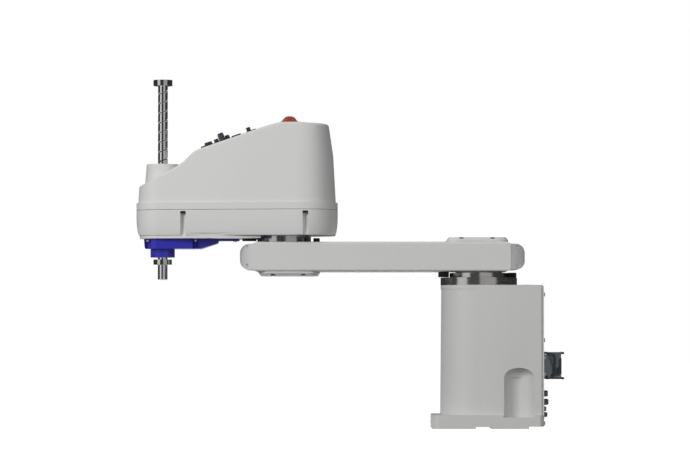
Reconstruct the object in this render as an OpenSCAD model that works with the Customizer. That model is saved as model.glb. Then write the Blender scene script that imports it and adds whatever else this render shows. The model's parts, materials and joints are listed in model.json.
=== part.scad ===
// Selective-compliance assembly robot arm: a bolted base, two horizontal arms and a ball screw spline shaft.
// The origin is where the first axis meets the floor. +X runs along the stretched arm and +Z points up.

/* [Reach and stroke] */
// Distance from the first axis to the second
arm1_length = 400; // [340:10:480]
// Distance from the second axis to the shaft
arm2_length = 250; // [240:5:320]
// Travel of the shaft
stroke = 200; // [150:10:220]

/* [Base] */
// Height of the base
base_height = 292.3; // [270:0.1:340]
// Radius of the round front of the column
column_radius = 80; // [78:1:84]
// Distance from the first axis to the back of the column
base_rear = 126.5; // [125:0.5:150]
// Half width of the back of the column
base_half_width = 85; // [84:1:90]
// Distance from the first axis to the front of the foot plate
foot_front = 97.7; // [95:1:110]
// Half width of the foot plate
foot_half_width = 92; // [90:1:100]
// Thickness of the foot plate
foot_thickness = 28; // [20:1:32]
// Distance between neighbouring foundation bolts
bolt_spacing = 150; // [146:1:152]
// Diameter of the foundation bolt holes
bolt_hole = 11; // [9:0.5:13]
// Wall of the base casting
base_wall = 9; // [7:0.5:11]
// Thickness of the rear panel
panel_thickness = 3; // [2:0.2:5]

/* [Rotary joints] */
// Diameter of the fixed bearing ring on the base
base_ring_diameter = 157; // [150:1:160]
// Height of the fixed bearing ring
base_ring_height = 15.9; // [12:0.1:18]
// Diameter of the turning flange of the first joint
turn_ring_diameter = 120; // [116:1:122]
// Height of the turning flange of the first joint
turn_ring_height = 9.3; // [8:0.2:12]
// Diameter of the flange of the second joint
elbow_ring_diameter = 110; // [104:1:112]
// Height of the gap between the two arms at the second joint
elbow_ring_height = 13.3; // [13:0.1:18]
// Running clearance on a radius
running = 0.05; // [0.03:0.01:0.08]
// Gap between faces that turn against each other
face_gap = 0.3; // [0.3:0.1:0.5]

/* [First arm] */
// Thickness of the first arm
arm1_thickness = 60.6; // [58:0.2:76]
// Half width of the first arm
arm1_half_width = 63; // [60:1:66]
// Distance that the arm casting runs past each axis
arm1_overhang = 63; // [62:1:70]
// Distance from the first axis to the tip of the rear cap
rear_cap_reach = 94.6; // [88:0.2:100]
// Distance from the second axis to the tip of the front cap
front_cap_reach = 91; // [88:0.2:100]
// Wall of the first arm
arm1_wall = 7; // [5:0.5:9]
// Rounding of the long edges
arm1_edge = 5; // [3:0.5:6]

/* [Second arm] */
// Radius of the round front end
front_radius = 54; // [53:1:60]
// Distance from the second axis to the back of the arm
arm2_rear = 110; // [106:1:116]
// Radius of the two rear corners
rear_corner = 75; // [70:1:80]
// Half width at the second axis
arm2_half_width = 92; // [90:1:98]
// Height of the second arm casting at the second axis
casting_height = 52.2; // [48:0.1:56]
// How far the front of the casting hangs below its back
front_drop = 6.5; // [6:0.5:9]
// Wall of the second arm casting
arm2_wall = 6; // [5:0.5:8]
// Wall of the moulded cover
cover_wall = 3; // [2.5:0.5:4]
// Height of the band that is flush with the casting
band_height = 14.5; // [12:0.5:18]
// Height of the cover above the parting line
cover_height = 178.7; // [174:0.1:200]
// Rounding of the upper rim of the cover
cover_rim = 6; // [4:0.5:10]
// Outer diameter of the shaft chimney
chimney_diameter = 66; // [64:1:68]

/* [Shaft] */
// Diameter of the shaft
shaft_diameter = 20; // [18:1:22]
// Diameter of the hole through the shaft
shaft_hole = 14; // [10:0.5:14]
// Distance that the shaft reaches below the blue cover when it is up
shaft_nose = 46; // [44:1:60]
// Lead of the helical groove
screw_lead = 20; // [16:1:25]
// Diameter of the upper stop collar
upper_collar_diameter = 39; // [36:1:40]
// Height of the upper stop collar
upper_collar_height = 12; // [10:0.5:14]
// Diameter of the lower stop collar
lower_collar_diameter = 38; // [34:1:40]
// Height of the lower stop collar
lower_collar_height = 10.3; // [8:0.1:12]

/* [Hidden] */
$fn = 64;

cast = [0.80, 0.80, 0.80];
shell = [0.84, 0.84, 0.84];
steel = [0.50, 0.50, 0.50];
dark = [0.10, 0.10, 0.11];
blue = [0.16, 0.15, 0.62];
collar_blue = [0.08, 0.24, 0.66];

// Heights of the stack, from the floor up.
ring_top = base_height + base_ring_height;
neck = 2.5;
neck_diameter = 95;
arm1_bottom = ring_top + face_gap + turn_ring_height + neck;
arm1_top = arm1_bottom + arm1_thickness;
arm2_bottom = arm1_top + elbow_ring_height + face_gap;
parting = arm2_bottom + casting_height;
front_bottom = arm2_bottom - front_drop;
cover_top = parting + cover_height;
blue_depth = 20.5;
blue_bottom = front_bottom - blue_depth;
nose_height = 17.6;
nose_diameter = 50;
nose_bottom = blue_bottom - nose_height;
elbow = arm1_length;
wrist = arm1_length + arm2_length;

// A row of points along an arc.
function arc(cx, cy, r, a0, a1, n) = [for (i = [0:n]) [cx + r * cos(a0 + (a1 - a0) * i / n),
                                                     cy + r * sin(a0 + (a1 - a0) * i / n)]];
// A rectangle with round corners.
function round_box(x0, x1, y0, y1, r, n = 5) = concat(arc(x1 - r, y1 - r, r, 0, 90, n),
  arc(x0 + r, y1 - r, r, 90, 180, n), arc(x0 + r, y0 + r, r, 180, 270, n),
    arc(x1 - r, y0 + r, r, 270, 360, n));
// Straight-line value at x in a table of [x, value] pairs whose x falls.
function along(x, t, i = 0) = i >= len(t) - 2 || x > t[i + 1][0]
  ? t[i][1] + (t[i + 1][1] - t[i][1]) * (t[i][0] - min(x, t[0][0])) / (t[i][0] - t[i + 1][0])
  : along(x, t, i + 1);

// A ring or disc between two heights.
module ring(r_out, r_in, z0, z1) {
  translate([0, 0, z0]) difference() {
    cylinder(h = z1 - z0, r = r_out);
    if (r_in > 0) translate([0, 0, -1]) cylinder(h = z1 - z0 + 2, r = r_in);
  }
}

// A box with round upright corners between two heights.
module slab(x0, x1, half, z0, z1, r) {
  translate([0, 0, z0]) linear_extrude(z1 - z0) polygon(round_box(x0, x1, -half, half, r));
}

// A cap screw that points down, its head resting at the origin.
module cap_screw(head_d, head_h, thread_d, reach) {
  difference() {
    cylinder(h = head_h, r = head_d / 2, $fn = 32);
    translate([0, 0, head_h * 0.45]) cylinder(h = head_h, r = head_d * 0.28, $fn = 6);
  }
  translate([0, 0, -reach]) cylinder(h = reach + 0.01, r = thread_d / 2, $fn = 32);
}

/* Base */

pocket_x = -bolt_spacing / 2 - 3.5;
pocket_half = 30.5;
pocket_floor = foot_thickness - 5;
pocket_top = 125;
pocket_depth = 22;
pocket_dome = 20.5;
// The pocket is part of an upright cylinder whose axis stands outside the wall.
pocket_r = (pocket_half * pocket_half + pocket_depth * pocket_depth) / (2 * pocket_depth);
pocket_y = base_half_width + pocket_r - pocket_depth;
wrench_r = 15;
tunnel = 52;
key_slot_x = -6.7;
key_slot = 33;
key_depth = 4;
lift_x = 98.3;
lift_depth = 4.6;
foot_corner = 16;
foot_rear_corner = 8;
column_draft = 3;
rim_height = 8;
rim_step = 1.7;
side_start = -60;
side_end = 10;
head_room = 12;

// Half of the side of the column: flat behind, easing in to the round front.
function column_side(y) = [for (i = [0:8]) let (t = i / 8)
  [side_start + (side_end - side_start) * t,
   y * (side_front() + (base_half_width - side_front()) * cos(90 * t))]];
function side_front() = column_radius - column_draft;

module column_plan() {
  polygon(concat(arc(-base_rear + 4, base_half_width - 4, 4, 180, 90, 4), column_side(1),
    [for (i = [8:-1:0]) column_side(-1)[i]], arc(-base_rear + 4, -base_half_width + 4, 4, 270, 180, 4)));
}

module foot_plan() {
  polygon(concat(arc(foot_front - foot_corner, foot_half_width - foot_corner, foot_corner, 90, 0, 6),
    arc(foot_front - foot_corner, -foot_half_width + foot_corner, foot_corner, 0, -90, 6),
    arc(-base_rear + foot_rear_corner, -foot_half_width + foot_rear_corner, foot_rear_corner, 270, 180, 5),
    arc(-base_rear + foot_rear_corner, foot_half_width - foot_rear_corner, foot_rear_corner, 180, 90, 5)));
}

// Room for a rear foundation bolt and its wrench, with a domed top.
module bolt_pocket(side) {
  translate([pocket_x, side * pocket_y, 0]) rotate_extrude() polygon(concat(
    [[0, pocket_floor], [pocket_r, pocket_floor]],
      [for (a = [0:11.25:90]) [pocket_r * cos(a), pocket_top - pocket_dome + pocket_dome * sin(a)]]));
  translate([-bolt_spacing / 2, side * bolt_spacing / 2, pocket_floor])
    cylinder(h = pocket_top - pocket_dome - pocket_floor, r = wrench_r);
}

module base_casting() {
  color(cast) difference() {
    union() {
      linear_extrude(foot_thickness) foot_plan();
      cylinder(h = base_height, r1 = column_radius, r2 = column_radius - column_draft);
      translate([0, 0, base_height - rim_height]) cylinder(h = rim_height, r = column_radius - rim_step);
      linear_extrude(base_height) column_plan();
    }
    // Hollow for the motor, open at the back behind the panel.
    translate([0, 0, base_wall]) cylinder(h = base_height - base_wall - head_room, r = hollow_r);
    translate([-base_rear - 1, -tunnel, base_wall])
      cube([base_rear + 1, 2 * tunnel, base_height - base_wall - head_room]);
    // Bore that centres the bearing ring.
    translate([0, 0, base_height - head_room - 1]) cylinder(h = head_room + 2, r = ring_spigot + running);
    for (side = [-1, 1]) {
      bolt_pocket(side);
      for (x = [-1, 1]) translate([x * bolt_spacing / 2, side * bolt_spacing / 2, -1])
        cylinder(h = foot_thickness + 2, r = bolt_hole / 2);
    }
    // Slot for a locating key across the underside.
    translate([key_slot_x - key_slot / 2, -foot_half_width - 1, -1])
      cube([key_slot, 2 * foot_half_width + 2, key_depth + 1]);
    // Raised underside behind the rear bolts.
    translate([-base_rear - 1, -foot_half_width - 1, -1])
      cube([base_rear - lift_x + 1, 2 * foot_half_width + 2, lift_depth + 1]);
    for (z = panel_screw_heights) for (side = [-1, 1]) translate([-base_rear - 1, side * panel_screw_y, z])
      rotate([0, 90, 0]) cylinder(h = 9, r = panel_screw_r + running, $fn = 32);
    translate([plug_x, 0, base_height - plug_root - 1])
      cylinder(h = plug_root + 2, r = plug_root_r + running);
  }
}

hollow_r = column_radius - column_draft - base_wall;
panel_screw_heights = [11, 180, base_height - 19.3];
panel_screw_y = base_half_width - 14;
panel_screw_r = 1.6;
panel_half = base_half_width - 2.5;
panel_corner = 4;

module base_rear_panel() {
  color(cast) difference() {
    translate([-base_rear - panel_thickness, 0, 0]) rotate([90, 0, 90]) linear_extrude(panel_thickness)
      polygon(round_box(-panel_half, panel_half, lift_depth + 0.4, base_height - 2, panel_corner));
    for (z = panel_screw_heights) for (side = [-1, 1])
      translate([-base_rear - 9, side * panel_screw_y, z]) rotate([0, 90, 0])
        cylinder(h = 12, r = panel_screw_r + running, $fn = 32);
    translate([-base_rear - 9, connector_y - connector_half_y + 4, connector_z - connector_half_z + 4])
      cube([12, 2 * connector_half_y - 8, 2 * connector_half_z - 8]);
    for (i = [0:3]) translate([-base_rear - 9, fitting_y(i), fitting_z[i]]) rotate([0, 90, 0])
      cylinder(h = 12, r = 4 + running, $fn = 32);
  }
}

module panel_screws() {
  color(steel) for (z = panel_screw_heights) for (side = [-1, 1])
    translate([-base_rear - panel_thickness, side * panel_screw_y, z]) rotate([0, -90, 0])
      cap_screw(8, 2.8, 2 * panel_screw_r, 9);
}

plug_x = -98;
plug_root = 7;
plug_root_r = 5;
module base_top_plug() {
  color(cast) translate([plug_x, 0, base_height]) {
    cylinder(h = 1.7, r = 9);
    translate([0, 0, -plug_root]) cylinder(h = plug_root, r = plug_root_r);
  }
}

/* Connector and air fittings on the back */

connector_y = 0;
connector_z = 128;
connector_half_y = 46;
connector_half_z = 20.5;
housing_depth = 20;
insert_depth = 37;
lever_pin_r = 2.5;
lever_pivot = 25.5;
lever_sweep = 23.6;
rail_x = [6.2, 43];
rail_z = 24;
rail_t = 3.4;

// Puts its children on the rear panel, +X pointing out of the back and +Z up.
module behind(y, z) {
  translate([-base_rear - panel_thickness, y, z]) mirror([1, 0, 0]) children();
}

// A flat bar with a bead on each end, lying across the connector at height z.
module rail(z, half) {
  translate([rail_x[0] + 2.4, -half, z]) cube([rail_x[1] - rail_x[0] - 4.8, 2 * half, rail_t]);
  for (x = [rail_x[0] + 2.4, rail_x[1] - 2.4]) translate([x, half, z + rail_t / 2]) rotate([90, 0, 0])
    cylinder(h = 2 * half, r = 2.4, $fn = 24);
}

module connector_housing() {
  color([0.33, 0.35, 0.38]) behind(connector_y, connector_z) {
    difference() {
      union() {
        translate([0, -connector_half_y - 9, -connector_half_z - 2]) cube([2.6, 2 * connector_half_y + 18,
          2 * connector_half_z + 8]);
        translate([0, connector_half_y, 0]) rotate([90, 0, 0]) linear_extrude(2 * connector_half_y)
          polygon(concat([[0, -connector_half_z]], arc(housing_depth - 6, -connector_half_z + 6, 6,
            -90, 0, 5),
            arc(housing_depth - 6, connector_half_z - 4, 6, 0, 90, 5), [[0, connector_half_z + 2]]));
        // Ears that carry the pins of the locking lever.
        for (y = [-1, 1]) translate([0, y > 0 ? connector_half_y : -connector_half_y + 3, 0])
          rotate([90, 0, 0])
          linear_extrude(3) polygon(concat([[2, -9]], arc(lever_pivot, 0, 6, -60, 60, 6), [[2, 9]]));
        rail(-rail_z - rail_t, connector_half_y + 4);
        // Floor of the shell, and its lip under the insert.
        translate([rail_x[0] + 2.4, -connector_half_y, -rail_z - 0.1])
          cube([housing_depth - rail_x[0] - 6, 2 * connector_half_y, rail_z - connector_half_z + 1]);
        translate([rail_x[0] + 2.4, -connector_half_y, -rail_z - 0.1])
          cube([insert_depth - rail_x[0] - 2.4, 2 * connector_half_y, rail_z - connector_half_z]);
      }
      // Opening that holds the contact insert.
      translate([-1, -connector_half_y + 4, -connector_half_z + 4])
        cube([housing_depth + 2, 2 * connector_half_y - 8, 2 * connector_half_z - 8]);
      for (z = [-1, 1]) for (y = [-1, 1]) translate([-1, y * (connector_half_y + 5), z * 16])
        rotate([0, 90, 0])
        cylinder(h = 5, r = 2.2, $fn = 32);
    }
    for (y = [-1, 1]) translate([lever_pivot, y > 0 ? connector_half_y - 0.01 : -connector_half_y - 5, 0])
      rotate([-90, 0, 0]) cylinder(h = 5.01, r = lever_pin_r);
  }
}

// The contact insert: a block behind, a rim round the opening that the plug enters, and two rows of contacts.
module connector_insert() {
  color([0.14, 0.14, 0.15]) behind(connector_y, connector_z) {
    difference() {
      union() {
        translate([-panel_thickness + 0.5, -connector_half_y + 4, -connector_half_z + 4])
          cube([housing_depth + panel_thickness - 0.5, 2 * connector_half_y - 8, 2 * connector_half_z - 8]);
        translate([0, connector_half_y - 3.2, 0]) rotate([90, 0, 0])
          linear_extrude(2 * connector_half_y - 6.4)
          polygon(concat([[housing_depth, -connector_half_z], [insert_depth, -connector_half_z]],
            arc(lever_pivot, 0, lever_sweep, acos((insert_depth - lever_pivot) / lever_sweep),
              acos((housing_depth - lever_pivot) / lever_sweep), 6)));
      }
      translate([housing_depth + 2, -connector_half_y + 7, -connector_half_z + 4])
        cube([insert_depth, 2 * connector_half_y - 14, 2 * connector_half_z - 8]);
    }
    for (i = [0:7]) for (z = [-1, 1]) translate([housing_depth + 1, -31.5 + i * 9, z * 7]) rotate([0, 90, 0])
      cylinder(h = 9, r = 1.8, $fn = 16);
  }
}

// One bail that swings over the plug: two cheeks on the housing's pins, joined by the flat bar above.
module connector_lever() {
  color(dark) behind(connector_y, connector_z) {
    for (y = [-1, 1]) translate([0, y > 0 ? connector_half_y + 4.4 : -connector_half_y - 0.4, 0])
      rotate([90, 0, 0]) difference() {
        linear_extrude(4) polygon(concat(arc(lever_pivot, 0, 6, 180, 360, 8), [[rail_x[1] - 6, rail_z + 0.1],
          [rail_x[0] + 6, rail_z + 0.1]]));
        translate([lever_pivot, 0, -1]) cylinder(h = 6, r = lever_pin_r + running);
      }
    rail(rail_z, connector_half_y + 4.4);
  }
}

fitting_z = [71.1, 53.9, 39.7, 27.8];
fitting_r = [6.5, 6.5, 5.3, 5.3];
fitting_out = [8.2, 9.2, 5.2, 7.2];
tube_r = [4, 4, 3, 3];
collar_travel = 1;
function fitting_y(i) = i < 2 ? 30 : 26;

// A push-in tube fitting that points up from the origin, with a threaded root below it.
module air_fitting(r, out, tube, root) {
  difference() {
    union() {
      cylinder(h = out, r = r, $fn = 32);
      translate([0, 0, -root]) cylinder(h = root + 0.01, r = 4, $fn = 32);
    }
    translate([0, 0, out - 4]) cylinder(h = 5, r = tube + 1.3, $fn = 32);
    translate([0, 0, -root + 3]) cylinder(h = out + root, r = tube - 1.2, $fn = 32);
  }
}

// The sleeve that releases a tube when it is pressed in by its travel.
module release_collar(tube, out) {
  difference() {
    union() {
      translate([0, 0, out - 2.7]) cylinder(h = 3.1 + collar_travel, r = tube + 1.2, $fn = 32);
      translate([0, 0, out + 0.3 + collar_travel]) cylinder(h = 1, r = tube + 1.9, $fn = 32);
    }
    translate([0, 0, out - 4]) cylinder(h = 8, r = tube, $fn = 32);
  }
}

module on_panel(i) {
  translate([-base_rear - panel_thickness, fitting_y(i), fitting_z[i]]) rotate([0, -90, 0]) children();
}

module base_air_fittings() {
  color(dark) for (i = [0:3]) on_panel(i) air_fitting(fitting_r[i], fitting_out[i], tube_r[i], 12);
}

module base_collar(i) {
  color(i % 2 == 1 ? collar_blue : shell) on_panel(i) release_collar(tube_r[i], fitting_out[i]);
}

/* First joint */

ring_spigot = 62;
motor_half = 40;
first_motor_height = 156;
gear_bore = 30;
gear_floor = base_height - 34;
rotor_r = 8;

module base_bearing_ring() {
  color(steel) difference() {
    union() {
      ring(base_ring_diameter / 2, 0, base_height, ring_top);
      ring(ring_spigot, 0, base_height - 12, base_height);
    }
    translate([0, 0, base_height - 13]) cylinder(h = base_ring_height + 14, r = hub_r + running);
    for (i = [0:11]) rotate([0, 0, i * 30 + 15]) translate([base_ring_diameter / 2 - 7, 0, ring_top - 5])
      cylinder(h = 6, r = 4, $fn = 24);
  }
}

hub_r = 50;

module turning_flange() {
  color(steel) difference() {
    union() {
      ring(turn_ring_diameter / 2, 0, ring_top + face_gap, arm1_bottom - neck);
      ring(neck_diameter / 2, 0, arm1_bottom - neck - 0.01, arm1_bottom);
      ring(hub_r, 0, gear_floor + 12, ring_top + face_gap + 0.01);
    }
    translate([0, 0, gear_floor + 11]) cylinder(h = 100, r = 38);
    for (i = [0:7]) rotate([0, 0, i * 45]) translate([43, 0, arm1_bottom - 10])
      cylinder(h = 11, r = 2.1, $fn = 24);
  }
}

module first_gear_ring() {
  color(steel) difference() {
    ring(ring_spigot, 0, gear_floor, base_height - 12);
    translate([0, 0, gear_floor - 1]) cylinder(h = 13 - face_gap, r = gear_bore);
    translate([0, 0, gear_floor + 12 - face_gap]) cylinder(h = 30, r = hub_r + 0.5);
  }
}

module motor_body(half, z0, z1, pilot_r) {
  difference() {
    union() {
      slab(-half, half, half, z0, z1 - 28, 6);
      slab(-half + 3, half - 3, half - 3, z1 - 28.01, z1, 5);
      ring(pilot_r, 0, z1 - 0.01, z1 + 2);
    }
    translate([0, 0, z0 + 4]) cylinder(h = z1 - z0 + 10, r = rotor_r + 0.3);
    for (a = [45:90:315]) rotate([0, 0, a]) translate([half * 1.22, 0, z1 - 9])
      cylinder(h = 10, r = 2, $fn = 24);
  }
}

module first_motor() {
  color(dark) motor_body(motor_half, gear_floor - first_motor_height, gear_floor, gear_bore - running);
}

module first_rotor() {
  color(steel) {
    ring(rotor_r, 0, gear_floor - first_motor_height + 10, gear_floor + 8);
    ring(34, 0, gear_floor + 13, gear_floor + 24);
    ring(14, 0, gear_floor + 7.99, gear_floor + 13.01);
  }
}

stop_inner = turn_ring_diameter / 2 + 1;
stop_outer = 77.5;
stop_half_angle = 17;

module first_stop() {
  color(dark) difference() {
    translate([0, 0, ring_top]) linear_extrude(turn_ring_height + 0.8)
      polygon(concat(arc(0, 0, stop_outer, 180 - stop_half_angle, 180 + stop_half_angle, 8),
        arc(0, 0, stop_inner, 180 + stop_half_angle, 180 - stop_half_angle, 8)));
    for (a = [-9, 9]) rotate([0, 0, 180 + a]) translate([stop_inner + 8, 0, ring_top + 4])
      cylinder(h = 20, r = 4, $fn = 24);
  }
}

module first_stop_block() {
  color(dark) translate([stop_inner + 0.5, -11, ring_top + 1.2])
    cube([21.5, 22, arm1_bottom - ring_top - 1.2]);
}

/* First arm */

end_wall = 12;
cap_margin = 4;
cap_screw_inset = 7;
end_taper = [8, 3.6];
function cap_half() = arm1_half_width - 2;
// Places of the four screws of an end cap, as y and z.
function cap_screws() = [for (z = [arm1_bottom + cap_margin + cap_screw_inset,
  arm1_top - cap_margin - cap_screw_inset]) for (y = [-1, 1]) [y * (cap_half() - 14), z]];

module arm_prism(x0, x1, half, z0, z1, r) {
  translate([x0, 0, 0]) rotate([90, 0, 90]) linear_extrude(x1 - x0)
    polygon(round_box(-half, half, z0, z1, r));
}

module arm1_casting() {
  color(cast) difference() {
    intersection() {
      arm_prism(-arm1_overhang, elbow + arm1_overhang, arm1_half_width, arm1_bottom, arm1_top, arm1_edge);
      // Both ends draw in to the height of the caps.
      translate([0, arm1_half_width + 1, 0]) rotate([90, 0, 0])
        linear_extrude(2 * arm1_half_width + 2) polygon([
        for (end = [-1, 1]) let (tip = end < 0 ? -arm1_overhang : elbow + arm1_overhang) for (side = [-1, 1])
          let (z = end * side > 0 ? arm1_top : arm1_bottom, inward = z == arm1_top ? -1 : 1)
          each (side < 0 ? [[tip - end * end_taper[0], z], [tip, z + inward * end_taper[1]]]
                         : [[tip, z + inward * end_taper[1]], [tip - end * end_taper[0], z]])]);
    }
    arm_prism(-arm1_overhang + end_wall, elbow + arm1_overhang - end_wall, arm1_half_width - arm1_wall,
      arm1_bottom + arm1_wall, arm1_top - arm1_wall, 3);
    for (p = cap_screws()) for (x = [-arm1_overhang - 1, elbow + arm1_overhang - 9])
      translate([x, p[0], p[1]])
      rotate([0, 90, 0]) cylinder(h = 10, r = 2 + running, $fn = 24);
    // Access holes under the two covers, and the screw circles of the two flanges.
    translate([0, 0, arm1_top - arm1_wall - 1]) cylinder(h = arm1_wall + 2, r = 46);
    translate([elbow, 0, arm1_bottom - 1]) cylinder(h = arm1_wall + 2, r = 46);
    translate([0, 0, arm1_bottom - 1]) cylinder(h = arm1_wall + 2, r = 30);
    translate([elbow, 0, arm1_top - arm1_wall - 1]) cylinder(h = arm1_wall + 2, r = 30);
    for (i = [0:7]) rotate([0, 0, i * 45]) translate([43, 0, arm1_bottom - 1])
      cylinder(h = arm1_wall + 2, r = 2.1, $fn = 24);
    for (y = [-1, 1]) translate([elbow - stop_bolt_x, y * stop_bolt_y, arm1_top - arm1_wall - 1])
      cylinder(h = arm1_wall + 2, r = 4 + running, $fn = 32);
    for (x = top_cover_screws) for (y = [-1, 1])
      translate([x, y * cover_screw_y, arm1_top - 6]) cylinder(h = 7, r = 2 + running, $fn = 24);
    for (x = bottom_cover_screws) for (y = [-1, 1])
      translate([elbow + x, y * cover_screw_y, arm1_bottom - 1]) cylinder(h = 7, r = 2 + running, $fn = 24);
  }
}

top_cover_screws = [-26, 37];
bottom_cover_screws = [-40, 22];
cover_screw_y = arm1_half_width - 10;
cover1_height = 9.3;
cover1_edge = 4.5;
lid_recess_r = 5.2;
lid_head = 9;

// A shallow lid with a sloped rim, wide side down.
module lid(x0, x1, half, h, screws) {
  difference() {
    hull() {
      linear_extrude(h * 0.35) polygon(round_box(x0, x1, -half, half, 24, 6));
      linear_extrude(h) polygon(round_box(x0 + cover1_edge, x1 - cover1_edge, -half + cover1_edge,
        half - cover1_edge, 24 - cover1_edge, 6));
    }
    translate([0, 0, -1]) linear_extrude(h - 2) polygon(round_box(x0 + 14, x1 - 14, -cover_screw_y + 8,
      cover_screw_y - 8, 12, 6));
    for (x = screws) for (y = [-1, 1]) translate([x, y * cover_screw_y, 0]) {
      translate([0, 0, -1]) cylinder(h = h + 2, r = 2 + running, $fn = 24);
      translate([0, 0, h - 3]) cylinder(h = 4, r = lid_recess_r, $fn = 24);
    }
  }
}

module arm1_top_cover() {
  color(cast) translate([0, 0, arm1_top]) lid(-59, 67, arm1_half_width - 4, cover1_height, top_cover_screws);
}

module arm1_bottom_cover() {
  color(cast) translate([elbow, 0, arm1_bottom]) mirror([0, 0, 1])
    lid(-73, 52, arm1_half_width - 4, cover1_height - 0.8, bottom_cover_screws);
}

// A bulged end cap whose flat back is at x = 0 and whose tip is at x = b.
module end_cap(b) {
  w = cap_half();
  big = (w * w + b * b) / (2 * b);
  half_angle = asin(w / big);
  z0 = arm1_bottom + cap_margin;
  z1 = arm1_top - cap_margin;
  difference() {
    intersection() {
      translate([0, 0, z0]) linear_extrude(z1 - z0)
        polygon(arc(b - big, 0, big, -half_angle, half_angle, 20));
      translate([0, w + 1, 0]) rotate([90, 0, 0]) linear_extrude(2 * w + 2)
        polygon(concat([[0, z0], [0, z1]], arc(b - 20, z1 - 20, 20, 90, 0, 6), arc(b - 20, z0 + 20, 20, 0,
          -90, 6)));
    }
    for (p = cap_screws()) translate([0, p[0], p[1]]) rotate([0, 90, 0]) {
      translate([0, 0, -1]) cylinder(h = b + 2, r = 2 + running, $fn = 24);
      translate([0, 0, 4]) cylinder(h = b, r = 4.6, $fn = 24);
    }
  }
}

module arm1_front_cap() {
  color(shell) translate([elbow + arm1_overhang, 0, 0]) end_cap(front_cap_reach - arm1_overhang);
}

module arm1_rear_cap() {
  color(shell) translate([-arm1_overhang, 0, 0]) mirror([1, 0, 0]) end_cap(rear_cap_reach - arm1_overhang);
}

module arm1_screws() {
  color(dark) {
    for (x = top_cover_screws) for (y = [-1, 1])
      translate([x, y * cover_screw_y, arm1_top + cover1_height - 3])
      cap_screw(lid_head, 2.6, 4, cover1_height + 2);
    for (x = bottom_cover_screws) for (y = [-1, 1])
      translate([elbow + x, y * cover_screw_y, arm1_bottom - cover1_height + 3.8]) mirror([0, 0, 1])
        cap_screw(lid_head, 2.6, 4, cover1_height + 1);
    for (p = cap_screws()) {
      translate([elbow + arm1_overhang + 4, p[0], p[1]]) rotate([0, 90, 0]) cap_screw(7, 3, 4, 12);
      translate([-arm1_overhang - 4, p[0], p[1]]) rotate([0, -90, 0]) cap_screw(7, 3, 4, 12);
    }
  }
}

cable_r = [5, 4, 4, 3];
module arm1_cables() {
  color(dark) for (i = [0:3]) translate([30, -12 + i * 10, arm1_bottom + arm1_wall + cable_r[i]])
    rotate([0, 90, 0]) cylinder(h = elbow - 60, r = cable_r[i], $fn = 24);
}

/* Second joint */

elbow_hub = 40;
stop_bolt_x = 66.5;
stop_bolt_y = 27.5;
stop_bolt_head = 13;
stop_block_x = 57;
stop_block_end = 86;
stop_block_drop = 4.4;

module elbow_flange() {
  color(steel) translate([elbow, 0, 0]) difference() {
    union() {
      ring(elbow_ring_diameter / 2, 0, arm1_top, arm2_bottom - face_gap);
      ring(elbow_hub, 0, arm2_bottom - face_gap - 0.01, arm2_bottom + 12);
    }
    translate([0, 0, arm1_top + 4]) cylinder(h = 60, r = 33);
    translate([0, 0, arm1_top - 1]) cylinder(h = 6, r = 15);
  }
}

module elbow_stop_bolts() {
  color(dark) for (y = [-1, 1]) translate([elbow - stop_bolt_x, y * stop_bolt_y, arm1_top])
    cap_screw(stop_bolt_head, 8, 8, arm1_wall);
}

module elbow_stop_block() {
  color(dark) translate([elbow + stop_block_x, -6, front_bottom - stop_block_drop]) {
    cube([stop_block_end - stop_block_x, 12, stop_block_drop]);
    cube([low_edge - stop_block_x - 0.3, 12, front_drop + stop_block_drop]);
  }
}

/* Second arm */

// Plan of the second arm, drawn in by a margin: a round nose and two round rear corners with straight sides.
function plan_angle() = let (dx = arm2_length + arm2_rear - rear_corner, dy = arm2_half_width - rear_corner)
  acos((rear_corner - front_radius) / norm([dx, dy])) - atan2(dy, dx);
function arm2_half(inset, sides = 10) = let (a = plan_angle(),
    nose = arc(arm2_length, 0, front_radius - inset, 0, a, 12),
    tail = arc(rear_corner - arm2_rear, arm2_half_width - rear_corner, rear_corner - inset, a, 180, 12),
    p = nose[12], q = tail[0])
  concat(nose, [for (i = [1:sides - 1]) p + (q - p) * i / sides], tail);
function arm2_plan(inset, sides = 10) = let (half = arm2_half(inset, sides), n = len(half))
  concat(half, [for (i = [n - 1:-1:1]) [half[i][0], -half[i][1]]]);

// Closed skin through rings of equal length, from the lowest to the highest, with flat ends.
module skin(rings) {
  n = len(rings[0]);
  m = len(rings);
  polyhedron(points = [for (r = rings) for (p = r) p], faces = concat(
    [[for (i = [0:n - 1]) i]],
    [for (k = [0:m - 2]) for (i = [0:n - 1]) let (j = (i + 1) % n, a = k * n, b = a + n) each
      [[a + i, b + i, b + j], [a + i, b + j, a + j]]],
    [for (i = [0:(n - 1) / 2]) let (t = (m - 1) * n, a = i, b = i + 1, c = (n - b) % n, d = (n - a) % n) each
      (i == 0 ? [[t + a, t + c, t + b]] : b == c ? [[t + a, t + d, t + b]]
        : [[t + a, t + d, t + c], [t + a, t + c, t + b]])]));
}

function at_height(points, z) = [for (p = points) [p[0], p[1], z]];

module arm2_plate(inset, z0, z1) {
  translate([0, 0, z0]) linear_extrude(z1 - z0) polygon(arm2_plan(inset, 1));
}

slot_x = [arm2_length - 44.4, -44.7];
slot_r = 5.6;
slot_top = parting - 3.3;
slot_head = 10.4;
slot_head_height = 4;
slot_depth = 5.4;
casting_draft = 5;
low_edge = 80;
low_half = 65;
floor_z = 8;
// Where a side screw stands: in the wall of the plan at a distance x from the second axis.
function side_y(x) = let (a = plan_angle(), p = arm2_half(0, 1)[12], q = arm2_half(0, 1)[13])
  x < q[0]
    ? arm2_half_width - rear_corner + sqrt(rear_corner * rear_corner - pow(x - rear_corner + arm2_rear, 2))
           : q[1] + (p[1] - q[1]) * (x - q[0]) / (p[0] - q[0]);

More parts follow.
